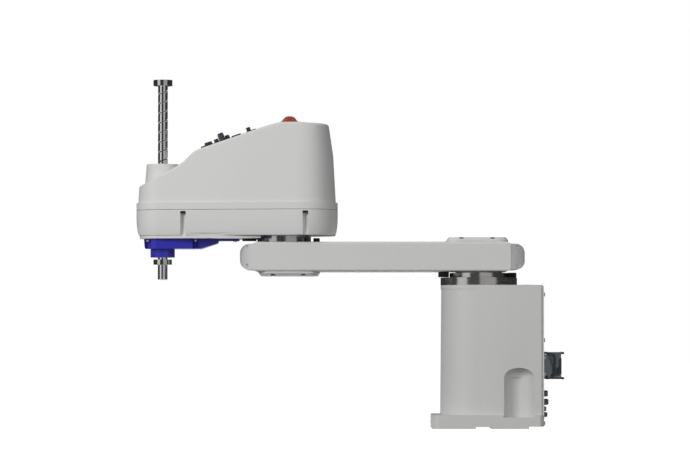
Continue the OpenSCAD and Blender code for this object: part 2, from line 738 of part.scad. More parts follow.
module arm2_casting() {
  color(cast) translate([elbow, 0, 0]) difference() {
    union() {
      skin([at_height(arm2_plan(casting_draft, 1), arm2_bottom),
        at_height(arm2_plan(2.5, 1), arm2_bottom + 8),
        at_height(arm2_plan(0.6, 1), arm2_bottom + 22), at_height(arm2_plan(0, 1), arm2_bottom + 34),
        at_height(arm2_plan(0, 1), parting)]);
      intersection() {
        arm2_plate(casting_draft + 2, front_bottom, arm2_bottom + 0.01);
        translate([0, -low_half, 0]) cube([2 * arm2_length, 2 * low_half, parting]);
        difference() {
          translate([0, -low_half, 0]) cube([2 * arm2_length, 2 * low_half, parting]);
          cylinder(h = parting, r = low_edge);
        }
      }
    }
    difference() {
      arm2_plate(arm2_wall + casting_draft, arm2_bottom + floor_z, parting + 1);
      for (x = slot_x) for (y = [-1, 1]) translate([x, y * (side_y(x) - slot_depth), arm2_bottom])
        cylinder(h = casting_height + 2, r = slot_r + 4);
    }
    // Bore that turns on the hub of the elbow flange.
    translate([0, 0, arm2_bottom - 1]) cylinder(h = floor_z + 2, r = elbow_hub + running);
    // Hole for the nut housing.
    translate([arm2_length, 0, front_bottom - 1])
      cylinder(h = floor_z + front_drop + 2, r = housing_r + running);
    for (x = slot_x) for (y = [-1, 1]) translate([x, y * (side_y(x) - slot_depth), arm2_bottom - 1]) {
      cylinder(h = slot_top - arm2_bottom + 1, r = slot_r);
      translate([-slot_r, y > 0 ? 0 : -slot_r - 6, 0])
        cube([2 * slot_r, slot_r + 6, slot_top - arm2_bottom + 1]);
      cylinder(h = parting - arm2_bottom + 2, r = 2 + running, $fn = 24);
    }
    for (p = blue_screws) for (y = p[1] == 0 ? [0] : [-1, 1])
      translate([p[0], y * p[1], front_bottom - 1]) cylinder(h = 9, r = 2 + running, $fn = 24);
    // Shallow scoop low in each side.
    for (y = [-1, 1]) mirror([0, y < 0 ? 1 : 0, 0]) translate([scoop_x, side_y(scoop_x), front_bottom - 1])
      rotate([0, 0, -asin((side_y(scoop_x) - side_y(scoop_x + 10)) / 10)])
        translate([0, scoop_r - scoop_inset, 0])
          cylinder(h = arm2_bottom + 5 - front_bottom, r = scoop_r, $fn = 360);
  }
}

scoop_x = arm2_length - 96;
scoop_r = 415;
scoop_inset = 6.5;

// Height of the cover's back line above the parting line, from the nose to the tail.
function cover_line() = [
  [arm2_length + 51, 51.4], [arm2_length + 36, 58.1], [arm2_length, 73.6], [arm2_length - 30, 89.7],
  [arm2_length - 40, 96], [arm2_length - 47, 102], [arm2_length - 55, 111], [arm2_length - 63, 118.5],
  [arm2_length - 70, 122.5], [arm2_length - 79, 126],
  [39.4, cover_height - 8.2], [19.6, cover_height - 3], [6, cover_height], [-28, cover_height],
  [-51, cover_height - 1.6], [-arm2_rear, cover_height - 2.4]];
skin_step = 3;
cover_draft = 0.055;
cover_sides = 28;
rear_lean = 5.5;
shoulder = 0.62;

// How much more the rear wall leans in above its shoulder.
function lean(x, share) = rear_lean * max(0, min(1, -x / arm2_rear))
  * max(0, (share - shoulder) / (1 - shoulder));
// A ring of the moulded cover at a share of its wall, then along the rim that rolls over to the back line.
function cover_ring(grow, h, share, roll) = let (base = arm2_half(0, cover_sides), n = len(base),
    half = [for (i = [0:n - 1]) let (x = base[i][0], wall_top = along(x, cover_line()) - cover_rim - grow,
        rise = h + (wall_top - h) * share + cover_rim * sin(roll),
        inset = skin_step + grow + cover_draft * rise + lean(x, share)
          + (cover_rim - grow) * (1 - cos(roll)),
        ring = arm2_half(inset, cover_sides)) [ring[i][0], ring[i][1], parting + rise]])
  concat(half, [for (i = [n - 2:-1:1]) [half[i][0], -half[i][1], half[i][2]]]);

module cover_form(grow, h0) {
  skin(concat([for (share = [0, shoulder]) cover_ring(grow, h0, share, 0)],
    [for (roll = [0:22.5:90]) cover_ring(grow, h0, 1, roll)]));
}

chimney_top = 94.6;
chimney_foot = 20;
chimney_bore = 56;
panel_mid = 113;
function back_slope() = (along(panel_mid - 20, cover_line()) - along(panel_mid + 20, cover_line())) / 40;

module arm2_cover() {
  color(shell) translate([elbow, 0, 0]) difference() {
    union() {
      arm2_plate(0, parting, parting + band_height);
      cover_form(0, band_height - 0.5);
      translate([arm2_length, 0, parting + chimney_foot])
        cylinder(h = chimney_top - chimney_foot, r1 = chimney_diameter / 2 + 6.2, r2 = chimney_diameter / 2);
    }
    difference() {
      union() {
        arm2_plate(slot_depth + 3.6, parting - 1, parting + band_height - 1);
        cover_form(cover_wall, band_height - 2);
      }
      translate([arm2_length, 0, parting + 50]) cylinder(h = chimney_top, r = chimney_bore / 2 + cover_wall);
    }
    translate([arm2_length, 0, parting + 40]) cylinder(h = 60, r = chimney_bore / 2);
    on_slope(0, 0) translate([-panel_u - 0.3, -panel_v - 0.3, -12])
      cube([2 * panel_u + 0.6, 2 * panel_v + 0.6, 14]);
    translate([lamp_x, 0, cover_top - 20]) cylinder(h = 40, r = lamp_root_r + running);
    for (x = slot_x) for (y = [-1, 1]) translate([x, y * (side_y(x) - slot_depth), parting - 1])
      cylinder(h = 8, r = 2 + running, $fn = 24);
  }
}

// Puts its children on the sloped back, at a distance u down the slope and v across it.
module on_slope(u, v) {
  translate([panel_mid, 0, parting + along(panel_mid, cover_line())]) rotate([0, atan(back_slope()), 0])
    translate([u, v, 0]) children();
}

tail_x = stop_block_end + 6;
sweep_x = arm2_length - 79;
knee_x = tail_x + (sweep_x - tail_x) * 0.56;
blue_screws = [[arm2_length + 29, 18], [arm2_length - 69, 31], [tail_x + 9, 0]];
plate_z = 4.5;
screw_plate = 2.6;
blue_front = 38.5;
blue_half = 37.5;
channel_r = 5.8;
blue_wall = 3;

module blue_plan() {
  side = [[sweep_x + 5, blue_half], [sweep_x - 1, blue_half - 6], [knee_x, 13], [tail_x, 11]];
  polygon(concat(arc(arm2_length, 0, blue_front, -76, 76, 12), side,
    [for (i = [3:-1:0]) [side[i][0], -side[i][1]]]));
}

// Each place of a screw in the blue cover, on both sides where it is off the middle.
module at_blue_screws(places = blue_screws) {
  for (p = places) for (side = p[1] == 0 ? [1] : [-1, 1]) translate([p[0], side * p[1], 0])
    mirror([0, side < 0 ? 1 : 0, 0]) children();
}

module arm2_bottom_cover() {
  color(blue) translate([elbow, 0, 0]) difference() {
    union() {
      intersection() {
        translate([0, 0, blue_bottom]) linear_extrude(blue_depth) blue_plan();
        translate([0, 60, 0]) rotate([90, 0, 0]) linear_extrude(120)
          polygon([[arm2_length + blue_front, front_bottom],
            [arm2_length + blue_front - 2, blue_bottom + 2.5],
            [arm2_length + blue_front - 4, blue_bottom], [sweep_x, blue_bottom], [knee_x, blue_bottom + 11],
            [knee_x - 2, front_bottom - plate_z], [tail_x, front_bottom - plate_z], [tail_x, front_bottom]]);
      }
      translate([arm2_length, 0, nose_bottom]) cylinder(h = nose_height + 1, r = nose_diameter / 2);
    }
    translate([arm2_length, 0, nose_bottom - 1]) cylinder(h = 60, r = shaft_diameter / 2 + 1.5);
    // Hollow of the deep part, with a boss left round each screw.
    difference() {
      translate([0, 0, blue_bottom + blue_wall]) linear_extrude(60) offset(delta = -blue_wall) blue_plan();
      translate([0, -60, 0]) cube([sweep_x - 5, 120, parting]);
      at_blue_screws() translate([0, 0, blue_bottom]) cylinder(h = blue_depth, r = channel_r + blue_wall);
    }
    at_blue_screws() {
      translate([0, 0, blue_bottom - 1]) cylinder(h = blue_depth + 3, r = 2 + running, $fn = 24);
      translate([0, 0, blue_bottom - 1]) cylinder(h = blue_depth - screw_plate + 1, r = channel_r);
    }
    // The channels of the front screws open to the side.
    at_blue_screws([blue_screws[0], blue_screws[1]]) translate([-channel_r, 0, blue_bottom - 1])
      cube([2 * channel_r, 20, blue_depth - screw_plate + 1]);
  }
}

module arm2_screws() {
  color(dark) translate([elbow, 0, 0]) {
    for (x = slot_x) for (y = [-1, 1]) translate([x, y * (side_y(x) - slot_depth), slot_top])
      mirror([0, 0, 1])
      cap_screw(slot_head, slot_head_height, 4, 9);
    at_blue_screws() translate([0, 0, front_bottom - screw_plate]) mirror([0, 0, 1])
      cap_screw(7.6, 3.4, 4, 9);
  }
}

/* Drives inside the second arm */

bridge_z = arm2_bottom + 40;
bridge_t = 8;
bridge_x = 62;
lift_half = 30;
roll_frame = 40;
roll_corner = 4;
motor_margin = 16;
lift_motor_x = 105;
lift_motor_y = lift_half + motor_margin - side_y(lift_motor_x);
roll_motor_x = arm2_length - 85;
lift_stand = 24;
lift_motor_height = 78;
brake_height = 20;
roll_motor_height = 84;
housing_r = 30;
post_ring = 36;
roll_belt_z = arm2_bottom + 25;
lift_belt_z = bridge_z + bridge_t + 10;
belt_w = 9;
belt_t = 1.6;
nut_pulley_r = 26;
motor_pulley_r = 13;
// The roll motor stands between the lift belt and the side of the cover, and is no wider than that room.
belt_side = atan2(lift_motor_y, lift_motor_x - arm2_length)
  - acos((nut_pulley_r - motor_pulley_r) / norm([lift_motor_y, lift_motor_x - arm2_length]));
roll_room = (cos(belt_side) * (roll_motor_x - roll_corner - arm2_length)
  + sin(belt_side) * (side_y(roll_motor_x) - motor_margin + roll_corner)
  - nut_pulley_r - 2 * face_gap - belt_t - roll_corner) / (2 * sin(belt_side) - cos(belt_side));
roll_half = min(roll_frame / 2, roll_room);
roll_motor_y = side_y(roll_motor_x) - motor_margin - roll_half;
nut_r = 19;
second_motor_half = 36;
second_motor_foot = 24;
second_motor_height = 96;
second_encoder = 32;

module second_motor() {
  foot_z = arm2_bottom + second_motor_foot;
  color(dark) translate([elbow, 0, 0]) difference() {
    union() {
      ring(elbow_hub + 15, 0, arm2_bottom + floor_z, foot_z);
      slab(-second_motor_half, second_motor_half, second_motor_half, foot_z,
        foot_z + second_motor_height, 6);
      slab(3 - second_motor_half, second_motor_half - 3, second_motor_half - 3,
        foot_z + second_motor_height - 0.01,
        foot_z + second_motor_height + second_encoder, 5);
    }
    translate([0, 0, arm2_bottom]) cylinder(h = 20, r = elbow_hub + 0.5);
    translate([0, 0, arm2_bottom]) cylinder(h = 140, r = rotor_r + 0.3);
  }
}

module second_rotor() {
  color(steel) translate([elbow, 0, 0]) {
    ring(rotor_r, 0, arm1_top + 5, arm2_bottom + 130);
    ring(30, 0, arm2_bottom - 6, arm2_bottom + 6);
  }
}

// The plate that carries the lift and roll motors above the roll belt, on four posts.
module motor_bridge() {
  color(cast) translate([elbow, 0, 0]) difference() {
    union() {
      intersection() {
        arm2_plate(arm2_wall + casting_draft + 1.5, bridge_z, bridge_z + bridge_t);
        translate([bridge_x, -90, 0]) cube([arm2_length - 52 - bridge_x, 180, parting]);
      }
      for (p = [[bridge_x + 8, -56], [bridge_x + 8, 30], [roll_motor_x - 25, roll_motor_y + roll_half - 1],
          [arm2_length - 53, -38]]) translate([p[0], p[1], arm2_bottom + floor_z])
        cylinder(h = bridge_z - arm2_bottom - floor_z + 0.01, r = 6, $fn = 32);
    }
    translate([lift_motor_x, lift_motor_y, bridge_z - 1]) cylinder(h = bridge_t + 2, r = 19);
    translate([roll_motor_x, roll_motor_y, bridge_z - 1]) cylinder(h = bridge_t + 2, r = roll_half - 5);
    translate([arm2_length, 0, bridge_z - 1]) cylinder(h = bridge_t + 2, r = post_ring + 13);
  }
}

// The lift motor stands on four legs so that its belt runs above the bridge.
module lift_motor() {
  stand_z = bridge_z + bridge_t;
  color(dark) translate([elbow + lift_motor_x, lift_motor_y, 0]) difference() {
    union() {
      slab(-lift_half, lift_half, lift_half, stand_z + lift_stand,
        stand_z + lift_stand + lift_motor_height, 5);
      for (p = [[-24, -24], [-24, 24], [24, -24], [8, 26]]) translate([p[0], p[1], stand_z])
        cylinder(h = lift_stand + 0.01, r = 4, $fn = 32);
    }
    translate([0, 0, bridge_z]) cylinder(h = 80, r = 5.3);
  }
}

module lift_brake() {
  brake_z = bridge_z + bridge_t + lift_stand + lift_motor_height;
  color(steel) translate([elbow + lift_motor_x, lift_motor_y, 0])
    ring(lift_half - 4, 0, brake_z, brake_z + brake_height);
}

module roll_motor() {
  color(dark) translate([elbow + roll_motor_x, roll_motor_y, 0]) difference() {
    slab(-roll_half, roll_half, roll_half, bridge_z + bridge_t, bridge_z + roll_motor_height, roll_corner);
    translate([0, 0, bridge_z]) cylinder(h = 70, r = 4.3);
  }
}

// Two pulleys and the straight sides of a belt round them, at equal or unequal radii.
module belt_loop(dx, dy, r1, r2, w) {
  d = norm([dx, dy]);
  a = acos((r1 - r2) / d);
  rotate([0, 0, atan2(dy, dx)]) linear_extrude(w) difference() {
    polygon(concat(arc(0, 0, r1 + belt_t, a, 360 - a, 24), arc(d, 0, r2 + belt_t, -a, a, 16)));
    polygon(concat(arc(0, 0, r1, a, 360 - a, 24), arc(d, 0, r2, -a, a, 16)));
  }
}

module roll_belt() {
  color([0.06, 0.06, 0.06]) translate([wrist, 0, roll_belt_z - belt_w / 2])
    belt_loop(roll_motor_x - arm2_length, roll_motor_y, nut_pulley_r + face_gap,
      motor_pulley_r + face_gap, belt_w);
}

module lift_belt() {
  color([0.06, 0.06, 0.06]) translate([wrist, 0, lift_belt_z - belt_w / 2])
    belt_loop(lift_motor_x - arm2_length, lift_motor_y, nut_pulley_r + face_gap,
      motor_pulley_r + face_gap, belt_w);
}

// A toothed pulley with two rims, centred on the belt's middle.
module pulley(r, bore) {
  difference() {
    union() {
      ring(r, 0, -belt_w / 2 - 1.2, belt_w / 2 + 1.2);
      for (z = [-belt_w / 2 - 2.2, belt_w / 2 + 0.6]) ring(r + 1.8, 0, z, z + 1.6);
    }
    if (bore > 0) translate([0, 0, -20]) cylinder(h = 40, r = bore);
    for (i = [0:23]) rotate([0, 0, i * 15]) translate([r, 0, -belt_w / 2 - 0.5])
      cylinder(h = belt_w + 1, r = 0.8, $fn = 6);
  }
}

module roll_pulley() {
  color(steel) translate([elbow + roll_motor_x, roll_motor_y, 0]) {
    translate([0, 0, roll_belt_z]) pulley(motor_pulley_r, 0);
    ring(4, 0, roll_belt_z, bridge_z + 60);
  }
}

module lift_pulley() {
  color(steel) translate([elbow + lift_motor_x, lift_motor_y, 0]) {
    translate([0, 0, lift_belt_z]) pulley(motor_pulley_r, 0);
    ring(5, 0, lift_belt_z, bridge_z + 76);
  }
}

// The housing hangs in the floor of the arm and holds both bearings; three posts carry the upper one.
module nut_housing() {
  color(cast) translate([wrist, 0, 0]) difference() {
    union() {
      ring(housing_r, 0, front_bottom, arm2_bottom + floor_z + 0.01);
      ring(post_ring + 5, 0, arm2_bottom + floor_z, arm2_bottom + floor_z + 3);
      for (a = [60, 180, 300]) rotate([0, 0, a]) translate([post_ring, 0, arm2_bottom + floor_z])
        cylinder(h = upper_ring_z - arm2_bottom - floor_z + 0.01, r = 4.5, $fn = 32);
      ring(post_ring + 5, 0, upper_ring_z, upper_ring_z + 14);
    }
    translate([0, 0, front_bottom - 1]) cylinder(h = 200, r = nut_r + 1);
    translate([0, 0, front_bottom + 3]) cylinder(h = arm2_bottom + floor_z + 4 - front_bottom,
      r = bearing_r);
    translate([0, 0, upper_ring_z - 1]) cylinder(h = 12, r = bearing_r);
  }
}

bearing_r = 26;
upper_ring_z = lift_belt_z + belt_w / 2 + 4;
nut_top = upper_ring_z + 12;

module nut_bearings() {
  color([0.62, 0.62, 0.64]) translate([wrist, 0, 0]) {
    ring(bearing_r, nut_r + running, front_bottom + 3, front_bottom + 15);
    ring(bearing_r, nut_r + running, upper_ring_z, upper_ring_z + 11);
  }
}

module spline_nut() {
  color(steel) translate([wrist, 0, 0]) difference() {
    union() {
      ring(nut_r, 0, front_bottom + 1, roll_belt_z + 4);
      ring(nut_r + 3, 0, front_bottom + 15 + face_gap, roll_belt_z - belt_w / 2 - 2);
      translate([0, 0, roll_belt_z]) pulley(nut_pulley_r, 0);
    }
    translate([0, 0, front_bottom]) cylinder(h = 100, r = shaft_diameter / 2 + running);
  }
}

module screw_nut() {
  color(steel) translate([wrist, 0, 0]) difference() {
    union() {
      ring(nut_r, 0, bridge_z - 4, nut_top);
      ring(nut_r + 3, 0, bridge_z, upper_ring_z - face_gap);
      translate([0, 0, lift_belt_z]) pulley(nut_pulley_r, 0);
    }
    translate([0, 0, bridge_z - 5]) cylinder(h = 100, r = shaft_diameter / 2 + running);
  }
}

/* Panel, lamp and board of the second arm */

lamp_x = -11;
lamp_r = 16.9;
lamp_root_r = 9;
lamp_seat = 1;

module user_panel() {
  color([0.2, 0.2, 0.21]) translate([elbow, 0, 0]) difference() {
    union() {
      on_slope(0, 0) translate([-panel_u, -panel_v, -2]) cube([2 * panel_u, 2 * panel_v, 3]);
      on_slope(0, 0) translate([-panel_u - 8, -panel_v - 4, 0.1])
        cube([2 * panel_u + 16, 2 * panel_v + 8, 0.9]);
      on_slope(button_at[0], button_at[1]) ring(button_r + 2.4, 0, 0.5, 3);
    }
    for (i = [0:2]) on_slope(arm_fit[i][0], arm_fit[i][1]) translate([0, 0, -5])
      cylinder(h = 9, r = 4 + running, $fn = 32);
    on_slope(button_at[0], button_at[1]) translate([0, 0, -5]) cylinder(h = 12, r = button_r + running);
    on_slope(plug_at[0], plug_at[1]) translate([0, 0, -5]) cylinder(h = 9, r = 7 + running);
  }
}

panel_u = 51.7;
panel_v = 31.7;
arm_fit = [[26.5, -16, 5, 9, 3], [14, 12, 6.5, 16, 4], [2.5, -6, 5.3, 9, 3]];
plug_at = [43.5, 4];
button_at = [-44, 8];
button_r = 4.3;
button_height = 11.5;

module signal_connector() {
  color(dark) translate([elbow, 0, 0]) on_slope(plug_at[0], plug_at[1]) difference() {
    union() {
      ring(10, 0, 1, 3.5);
      ring(8, 0, 3.49, 9);
      ring(7, 0, -8, 1.01);
    }
    translate([0, 0, 3]) cylinder(h = 8, r = 6);
  }
}

module arm_air_fittings() {
  color(dark) translate([elbow, 0, 0]) for (f = arm_fit) on_slope(f[0], f[1]) translate([0, 0, 1])
    air_fitting(f[2], f[3] - 1, f[4], 9);
}

module arm_collar(i) {
  color(collar_blue) translate([elbow, 0, 0]) on_slope(arm_fit[i][0], arm_fit[i][1]) translate([0, 0, 1])
    release_collar(arm_fit[i][4], arm_fit[i][3] - 1);
}

module brake_button() {
  color(dark) translate([elbow, 0, 0]) on_slope(button_at[0], button_at[1]) {
    ring(button_r, 0, -8, button_height);
    ring(button_r + 2, 0, -8, -2 - face_gap);
  }
}

module lamp_base() {
  color(shell) translate([elbow + lamp_x, 0, 0]) {
    ring(lamp_root_r, 0, cover_top - 19, cover_top + 0.01);
    ring(lamp_r, 0, cover_top, cover_top + lamp_seat);
  }
}

// A bell-shaped lens.
module lamp_lens() {
  color([0.85, 0.25, 0.1]) translate([elbow + lamp_x, 0, cover_top + lamp_seat]) rotate_extrude()
    polygon([[0, 0], [lamp_r, 0], [lamp_r, 0.8], [14, 3.2], [11.6, 6.2], [8.8, 9.2], [5.2, 11.3],
      [2.4, 12.1],
      [0, 12.4]]);
}

board_half = arm2_half_width - rear_corner + 23;
board_x = 18 - arm2_rear;
board_height = 70;

module control_board() {
  color([0.1, 0.35, 0.2]) translate([elbow + board_x, 0, arm2_bottom + floor_z]) {
    translate([0, -board_half, 0]) cube([3, 2 * board_half, board_height]);
    for (i = [-1.5:1.5]) translate([3, i * board_half * 0.45 - 7, board_height * 0.43]) cube([10, 14, 12]);
  }
}

/* Shaft */

shaft_r = shaft_diameter / 2;
shaft_bottom = nose_bottom - shaft_nose;
collar_set_back = 0.7;
// Height left between the screw nut and the upper collar when the shaft is down.
park_gap = 30.2;
shaft_top = nut_top + park_gap + stroke + upper_collar_height + collar_set_back;
shaft_length = shaft_top - shaft_bottom;
lower_collar_z = nose_bottom - lower_collar_height - 4.4;
relief_width = 2;
relief_depth = 0.5;
groove_r = 1.5;
groove_start = front_bottom;
groove_end = shaft_top - upper_collar_height - 1;

// A helical groove cutter: a narrow wedge swept round the shaft.
module helix_cutter(z0, z1) {
  per_turn = 12;
  n = round((z1 - z0) / screw_lead * per_turn);
  section = [[-1.6, 0.6], [0, -1.1], [1.6, 0.6]];
  polyhedron(points = [for (k = [0:n]) let (a = k * 360 / per_turn, z = z0 + (z1 - z0) * k / n)
      for (s = section) [(shaft_r + s[1]) * cos(a), (shaft_r + s[1]) * sin(a), z + s[0]]],
    faces = concat([[0, 1, 2]], [for (k = [0:n - 1]) for (i = [0:2]) let (j = (i + 1) % 3, a = 3 * k,
      b = a + 3)
      each [[a + i, b + i, b + j], [a + i, b + j, a + j]]], [[3 * n, 3 * n + 2, 3 * n + 1]]));
}

module shaft() {
  color([0.6, 0.6, 0.6]) translate([wrist, 0, 0]) difference() {
    translate([0, 0, shaft_bottom]) cylinder(h = shaft_length, r = shaft_r);
    translate([0, 0, shaft_bottom - 1]) cylinder(h = shaft_length + 2, r = shaft_hole / 2);
    for (a = [90, 210, 330]) rotate([0, 0, a]) translate([shaft_r + 0.4, 0, groove_start])
      cylinder(h = groove_end - groove_start, r = groove_r, $fn = 24);
    // Relief that ends the plain length for tools, under the lower collar.
    translate([0, 0, lower_collar_z - 0.3]) difference() {
      cylinder(h = relief_width, r = shaft_r + 1);
      translate([0, 0, -1]) cylinder(h = relief_width + 2, r = shaft_r - relief_depth);
    }
    helix_cutter(groove_start + 4, groove_end - 4);
  }
}

module clamp_screw(d, h, reach, r) {
  translate([0, 5 - d / 2, h / 2]) rotate([0, 90, 0]) cylinder(h = reach, r = r, center = true, $fn = 24);
}

// A split collar with one clamp screw across the slot.
module stop_collar(d, h, z) {
  screw_r = 1.85;
  translate([wrist, 0, z]) {
    difference() {
      ring(d / 2, shaft_r, 0, h);
      translate([-0.8, -d, -1]) cube([1.6, d, h + 2]);
      clamp_screw(d, h, d, screw_r + running);
    }
    clamp_screw(d, h, d * 0.55, screw_r);
  }
}

module upper_stop_collar() {
  color(steel) stop_collar(upper_collar_diameter, upper_collar_height,
    shaft_top - upper_collar_height - collar_set_back);
}

module lower_stop_collar() {
  color(steel) stop_collar(lower_collar_diameter, lower_collar_height, lower_collar_z);
}

base_casting();
base_rear_panel();
panel_screws();
base_top_plug();
connector_housing();
connector_insert();
connector_lever();
base_air_fittings();
base_bearing_ring();
first_motor();
first_gear_ring();
first_stop();
first_rotor();
turning_flange();
first_stop_block();
arm1_casting();
arm1_top_cover();
arm1_bottom_cover();
arm1_front_cap();
arm1_rear_cap();
arm1_screws();
arm1_cables();
elbow_flange();
elbow_stop_bolts();
arm2_casting();
arm2_cover();
arm2_screws();
arm2_bottom_cover();
elbow_stop_block();
second_motor();
second_rotor();
motor_bridge();
lift_motor();
lift_brake();
roll_motor();
nut_housing();
nut_bearings();
user_panel();
signal_connector();
arm_air_fittings();
lamp_base();
lamp_lens();
control_board();
lift_belt();
roll_belt();
brake_button();
lift_pulley();
roll_pulley();
screw_nut();
spline_nut();
shaft();
upper_stop_collar();
lower_stop_collar();
base_collar(0);  // base_collar_1
base_collar(1);  // base_collar_2
base_collar(2);  // base_collar_3
base_collar(3);  // base_collar_4
arm_collar(0);  // arm_collar_1
arm_collar(1);  // arm_collar_2
arm_collar(2);  // arm_collar_3
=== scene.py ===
import json
import math

import bmesh
import bpy
from mathutils import Matrix, Vector


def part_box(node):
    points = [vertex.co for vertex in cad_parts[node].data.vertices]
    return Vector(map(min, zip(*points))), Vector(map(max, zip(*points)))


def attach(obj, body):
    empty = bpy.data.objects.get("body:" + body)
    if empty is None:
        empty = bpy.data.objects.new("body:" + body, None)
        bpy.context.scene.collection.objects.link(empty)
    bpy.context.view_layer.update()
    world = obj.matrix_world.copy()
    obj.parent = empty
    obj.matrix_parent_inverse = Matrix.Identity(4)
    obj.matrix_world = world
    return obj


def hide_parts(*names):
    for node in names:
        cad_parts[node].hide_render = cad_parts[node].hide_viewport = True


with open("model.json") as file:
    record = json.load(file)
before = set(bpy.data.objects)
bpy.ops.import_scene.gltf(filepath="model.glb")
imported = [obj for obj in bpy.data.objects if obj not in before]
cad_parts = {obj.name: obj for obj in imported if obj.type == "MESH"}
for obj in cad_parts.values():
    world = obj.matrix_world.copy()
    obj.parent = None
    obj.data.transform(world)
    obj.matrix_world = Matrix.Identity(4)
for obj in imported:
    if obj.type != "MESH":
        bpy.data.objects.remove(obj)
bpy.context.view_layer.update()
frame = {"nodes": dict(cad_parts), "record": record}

MM = 0.001


def middle_x(node):
    """Where the middle of a node stands along the arm."""
    low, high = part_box(node)
    return (low.x + high.x) / 2


LAMP_X = middle_x("lamp_lens")
ELBOW_X = middle_x("elbow_flange")
WRIST_X = middle_x("shaft")


def added(name, data):
    """Links new data to the scene as an object."""
    made = bpy.data.objects.new(name, data)
    bpy.context.scene.collection.objects.link(made)
    return made


def aimed(at, aim):
    """The turn that points a camera or a lamp from one place at another."""
    return (Vector(aim) - Vector(at)).to_track_quat("-Z", "Y").to_euler()


# Camera

SENSOR = 36.0
LENS = 182.6
SIGHT_END = 100
CAMERA_AT = (0.2665, 7.196, 0.178)
CAMERA_AIM = (0.2750, 0.0, 0.4065)


def make_camera():
    data = bpy.data.cameras.new("camera")
    data.sensor_width = SENSOR
    data.lens = LENS
    data.clip_end = SIGHT_END
    camera = added("camera", data)
    camera.location = CAMERA_AT
    camera.rotation_euler = aimed(CAMERA_AT, CAMERA_AIM)
    bpy.context.scene.camera = camera


make_camera()


# Shader maths

class Wire:
    """One output of a node, with the operators that the finishes use."""

    def __init__(self, nodes, socket):
        self.nodes = nodes
        self.socket = socket

    def math(self, operation, a, b=0.0, clamp=False):
        return self.nodes.node("ShaderNodeMath", {"operation": operation, "use_clamp": clamp}, {0: a, 1: b})

    def __add__(self, other):
        return self.math("ADD", self, other)

    __radd__ = __add__

    def __sub__(self, other):
        return self.math("SUBTRACT", self, other)

    def __rsub__(self, other):
        return self.math("SUBTRACT", other, self)

    def __mul__(self, other):
        return self.math("MULTIPLY", self, other)

    __rmul__ = __mul__

    def clamped(self):
        return self.math("ADD", self, clamp=True)

    def height(self):
        """The upright part of a place."""
        return self.nodes.node("ShaderNodeSeparateXYZ", {}, {0: self}, "Z")


class Nodes:
    """A node tree of a material or of the world, built node by node."""

    def __init__(self, tree):
        self.tree = tree

    def feed(self, socket, value):
        """Links a wire to a socket, or sets the socket to a value."""
        if isinstance(value, Wire):
            self.tree.links.new(value.socket, socket)
        else:
            socket.default_value = value

    def node(self, kind, settings, inputs, output=0):
        made = self.tree.nodes.new(kind)
        for name, value in settings.items():
            setattr(made, name, value)
        for key, value in inputs.items():
            self.feed(made.inputs[key], value)
        return Wire(self, made.outputs[output])

    def seen_directly(self):
        """1 for rays from the camera, and for rays that metal or glass sends on."""
        path = self.tree.nodes.new("ShaderNodeLightPath")
        camera, glossy, through = (Wire(self, path.outputs[ray]) for ray in (
            "Is Camera Ray", "Is Glossy Ray", "Is Transmission Ray"))
        return (camera + glossy + through).clamped()


SOCKETS = {"specular_ior_level": "Specular IOR Level"}
# Of a Mix node's sockets, the factor, the two colours and the mixed colour
MIX_FACTOR, MIX_A, MIX_B, MIX_OUT = 0, 6, 7, 2


class Finish(Nodes):
    """A material with one Principled shader."""

    def __init__(self, name):
        self.material = bpy.data.materials.new(name)
        self.material.use_nodes = True
        super().__init__(self.material.node_tree)
        self.tree.nodes.clear()
        self.shader = self.tree.nodes.new("ShaderNodeBsdfPrincipled")
        out = self.tree.nodes.new("ShaderNodeOutputMaterial")
        self.tree.links.new(self.shader.outputs[0], out.inputs["Surface"])

    def here(self):
        """The place on the piece."""
        return self.node("ShaderNodeTexCoord", {}, {}, "Object")

    def place(self, scale=(1, 1, 1), shift=(0, 0, 0)):
        return self.node("ShaderNodeMapping", {}, {"Vector": self.here(), "Scale": scale, "Location": shift})

    def radius(self, axis_x):
        """Distance from an upright axis that stands at axis_x, in millimetres."""
        flat = self.node("ShaderNodeVectorMath", {"operation": "MULTIPLY_ADD"},
                         {0: self.here(), 1: (1, 1, 0), 2: (-axis_x, 0, 0)})
        return self.node("ShaderNodeVectorMath", {"operation": "LENGTH"}, {0: flat}, "Value") * (1 / MM)

    def noise(self, scale, detail, stretch=(1, 1, 1), shift=(0, 0, 0), rough=0.5, at=None):
        return self.node("ShaderNodeTexNoise", {}, {"Vector": at or self.place(stretch, shift), "Scale": scale,
                                                    "Detail": detail, "Roughness": rough})

    def mix(self, amount, a, b):
        return self.node("ShaderNodeMix", {"data_type": "RGBA"}, {MIX_FACTOR: amount, MIX_A: a, MIX_B: b}, MIX_OUT)

    def mottled(self, amount, color, dark, bright):
        """A colour that runs from its dark share to its bright share."""
        return self.mix(amount, scaled(color, dark), scaled(color, bright))

    def bump(self, height, depth, under=None):
        """A relief whose depth is in millimetres, over another one if there is one under it."""
        inputs = {"Height": height, "Distance": depth * MM, "Strength": 1.0}
        if under:
            inputs["Normal"] = under
        return self.node("ShaderNodeBump", {}, inputs)

    def set(self, **sockets):
        """Sets the shader's sockets, named in lower case with underscores."""
        for name, value in sockets.items():
            self.feed(self.shader.inputs[SOCKETS.get(name, name.replace("_", " ").title())], value)


def shade(red, green, blue):
    """A linear colour from its written values of 0 to 255."""
    def linear(v):
        v = v / 255
        return v / 12.92 if v <= 0.04045 else ((v + 0.055) / 1.055) ** 2.4
    return (linear(red), linear(green), linear(blue), 1.0)


def grey(level):
    return (level, level, level, 1.0)


def scaled(color, red, green=None, blue=None):
    """A colour times a share, or times one share for each of its parts."""
    return (color[0] * red, color[1] * (green or red), color[2] * (blue or red), 1.0)


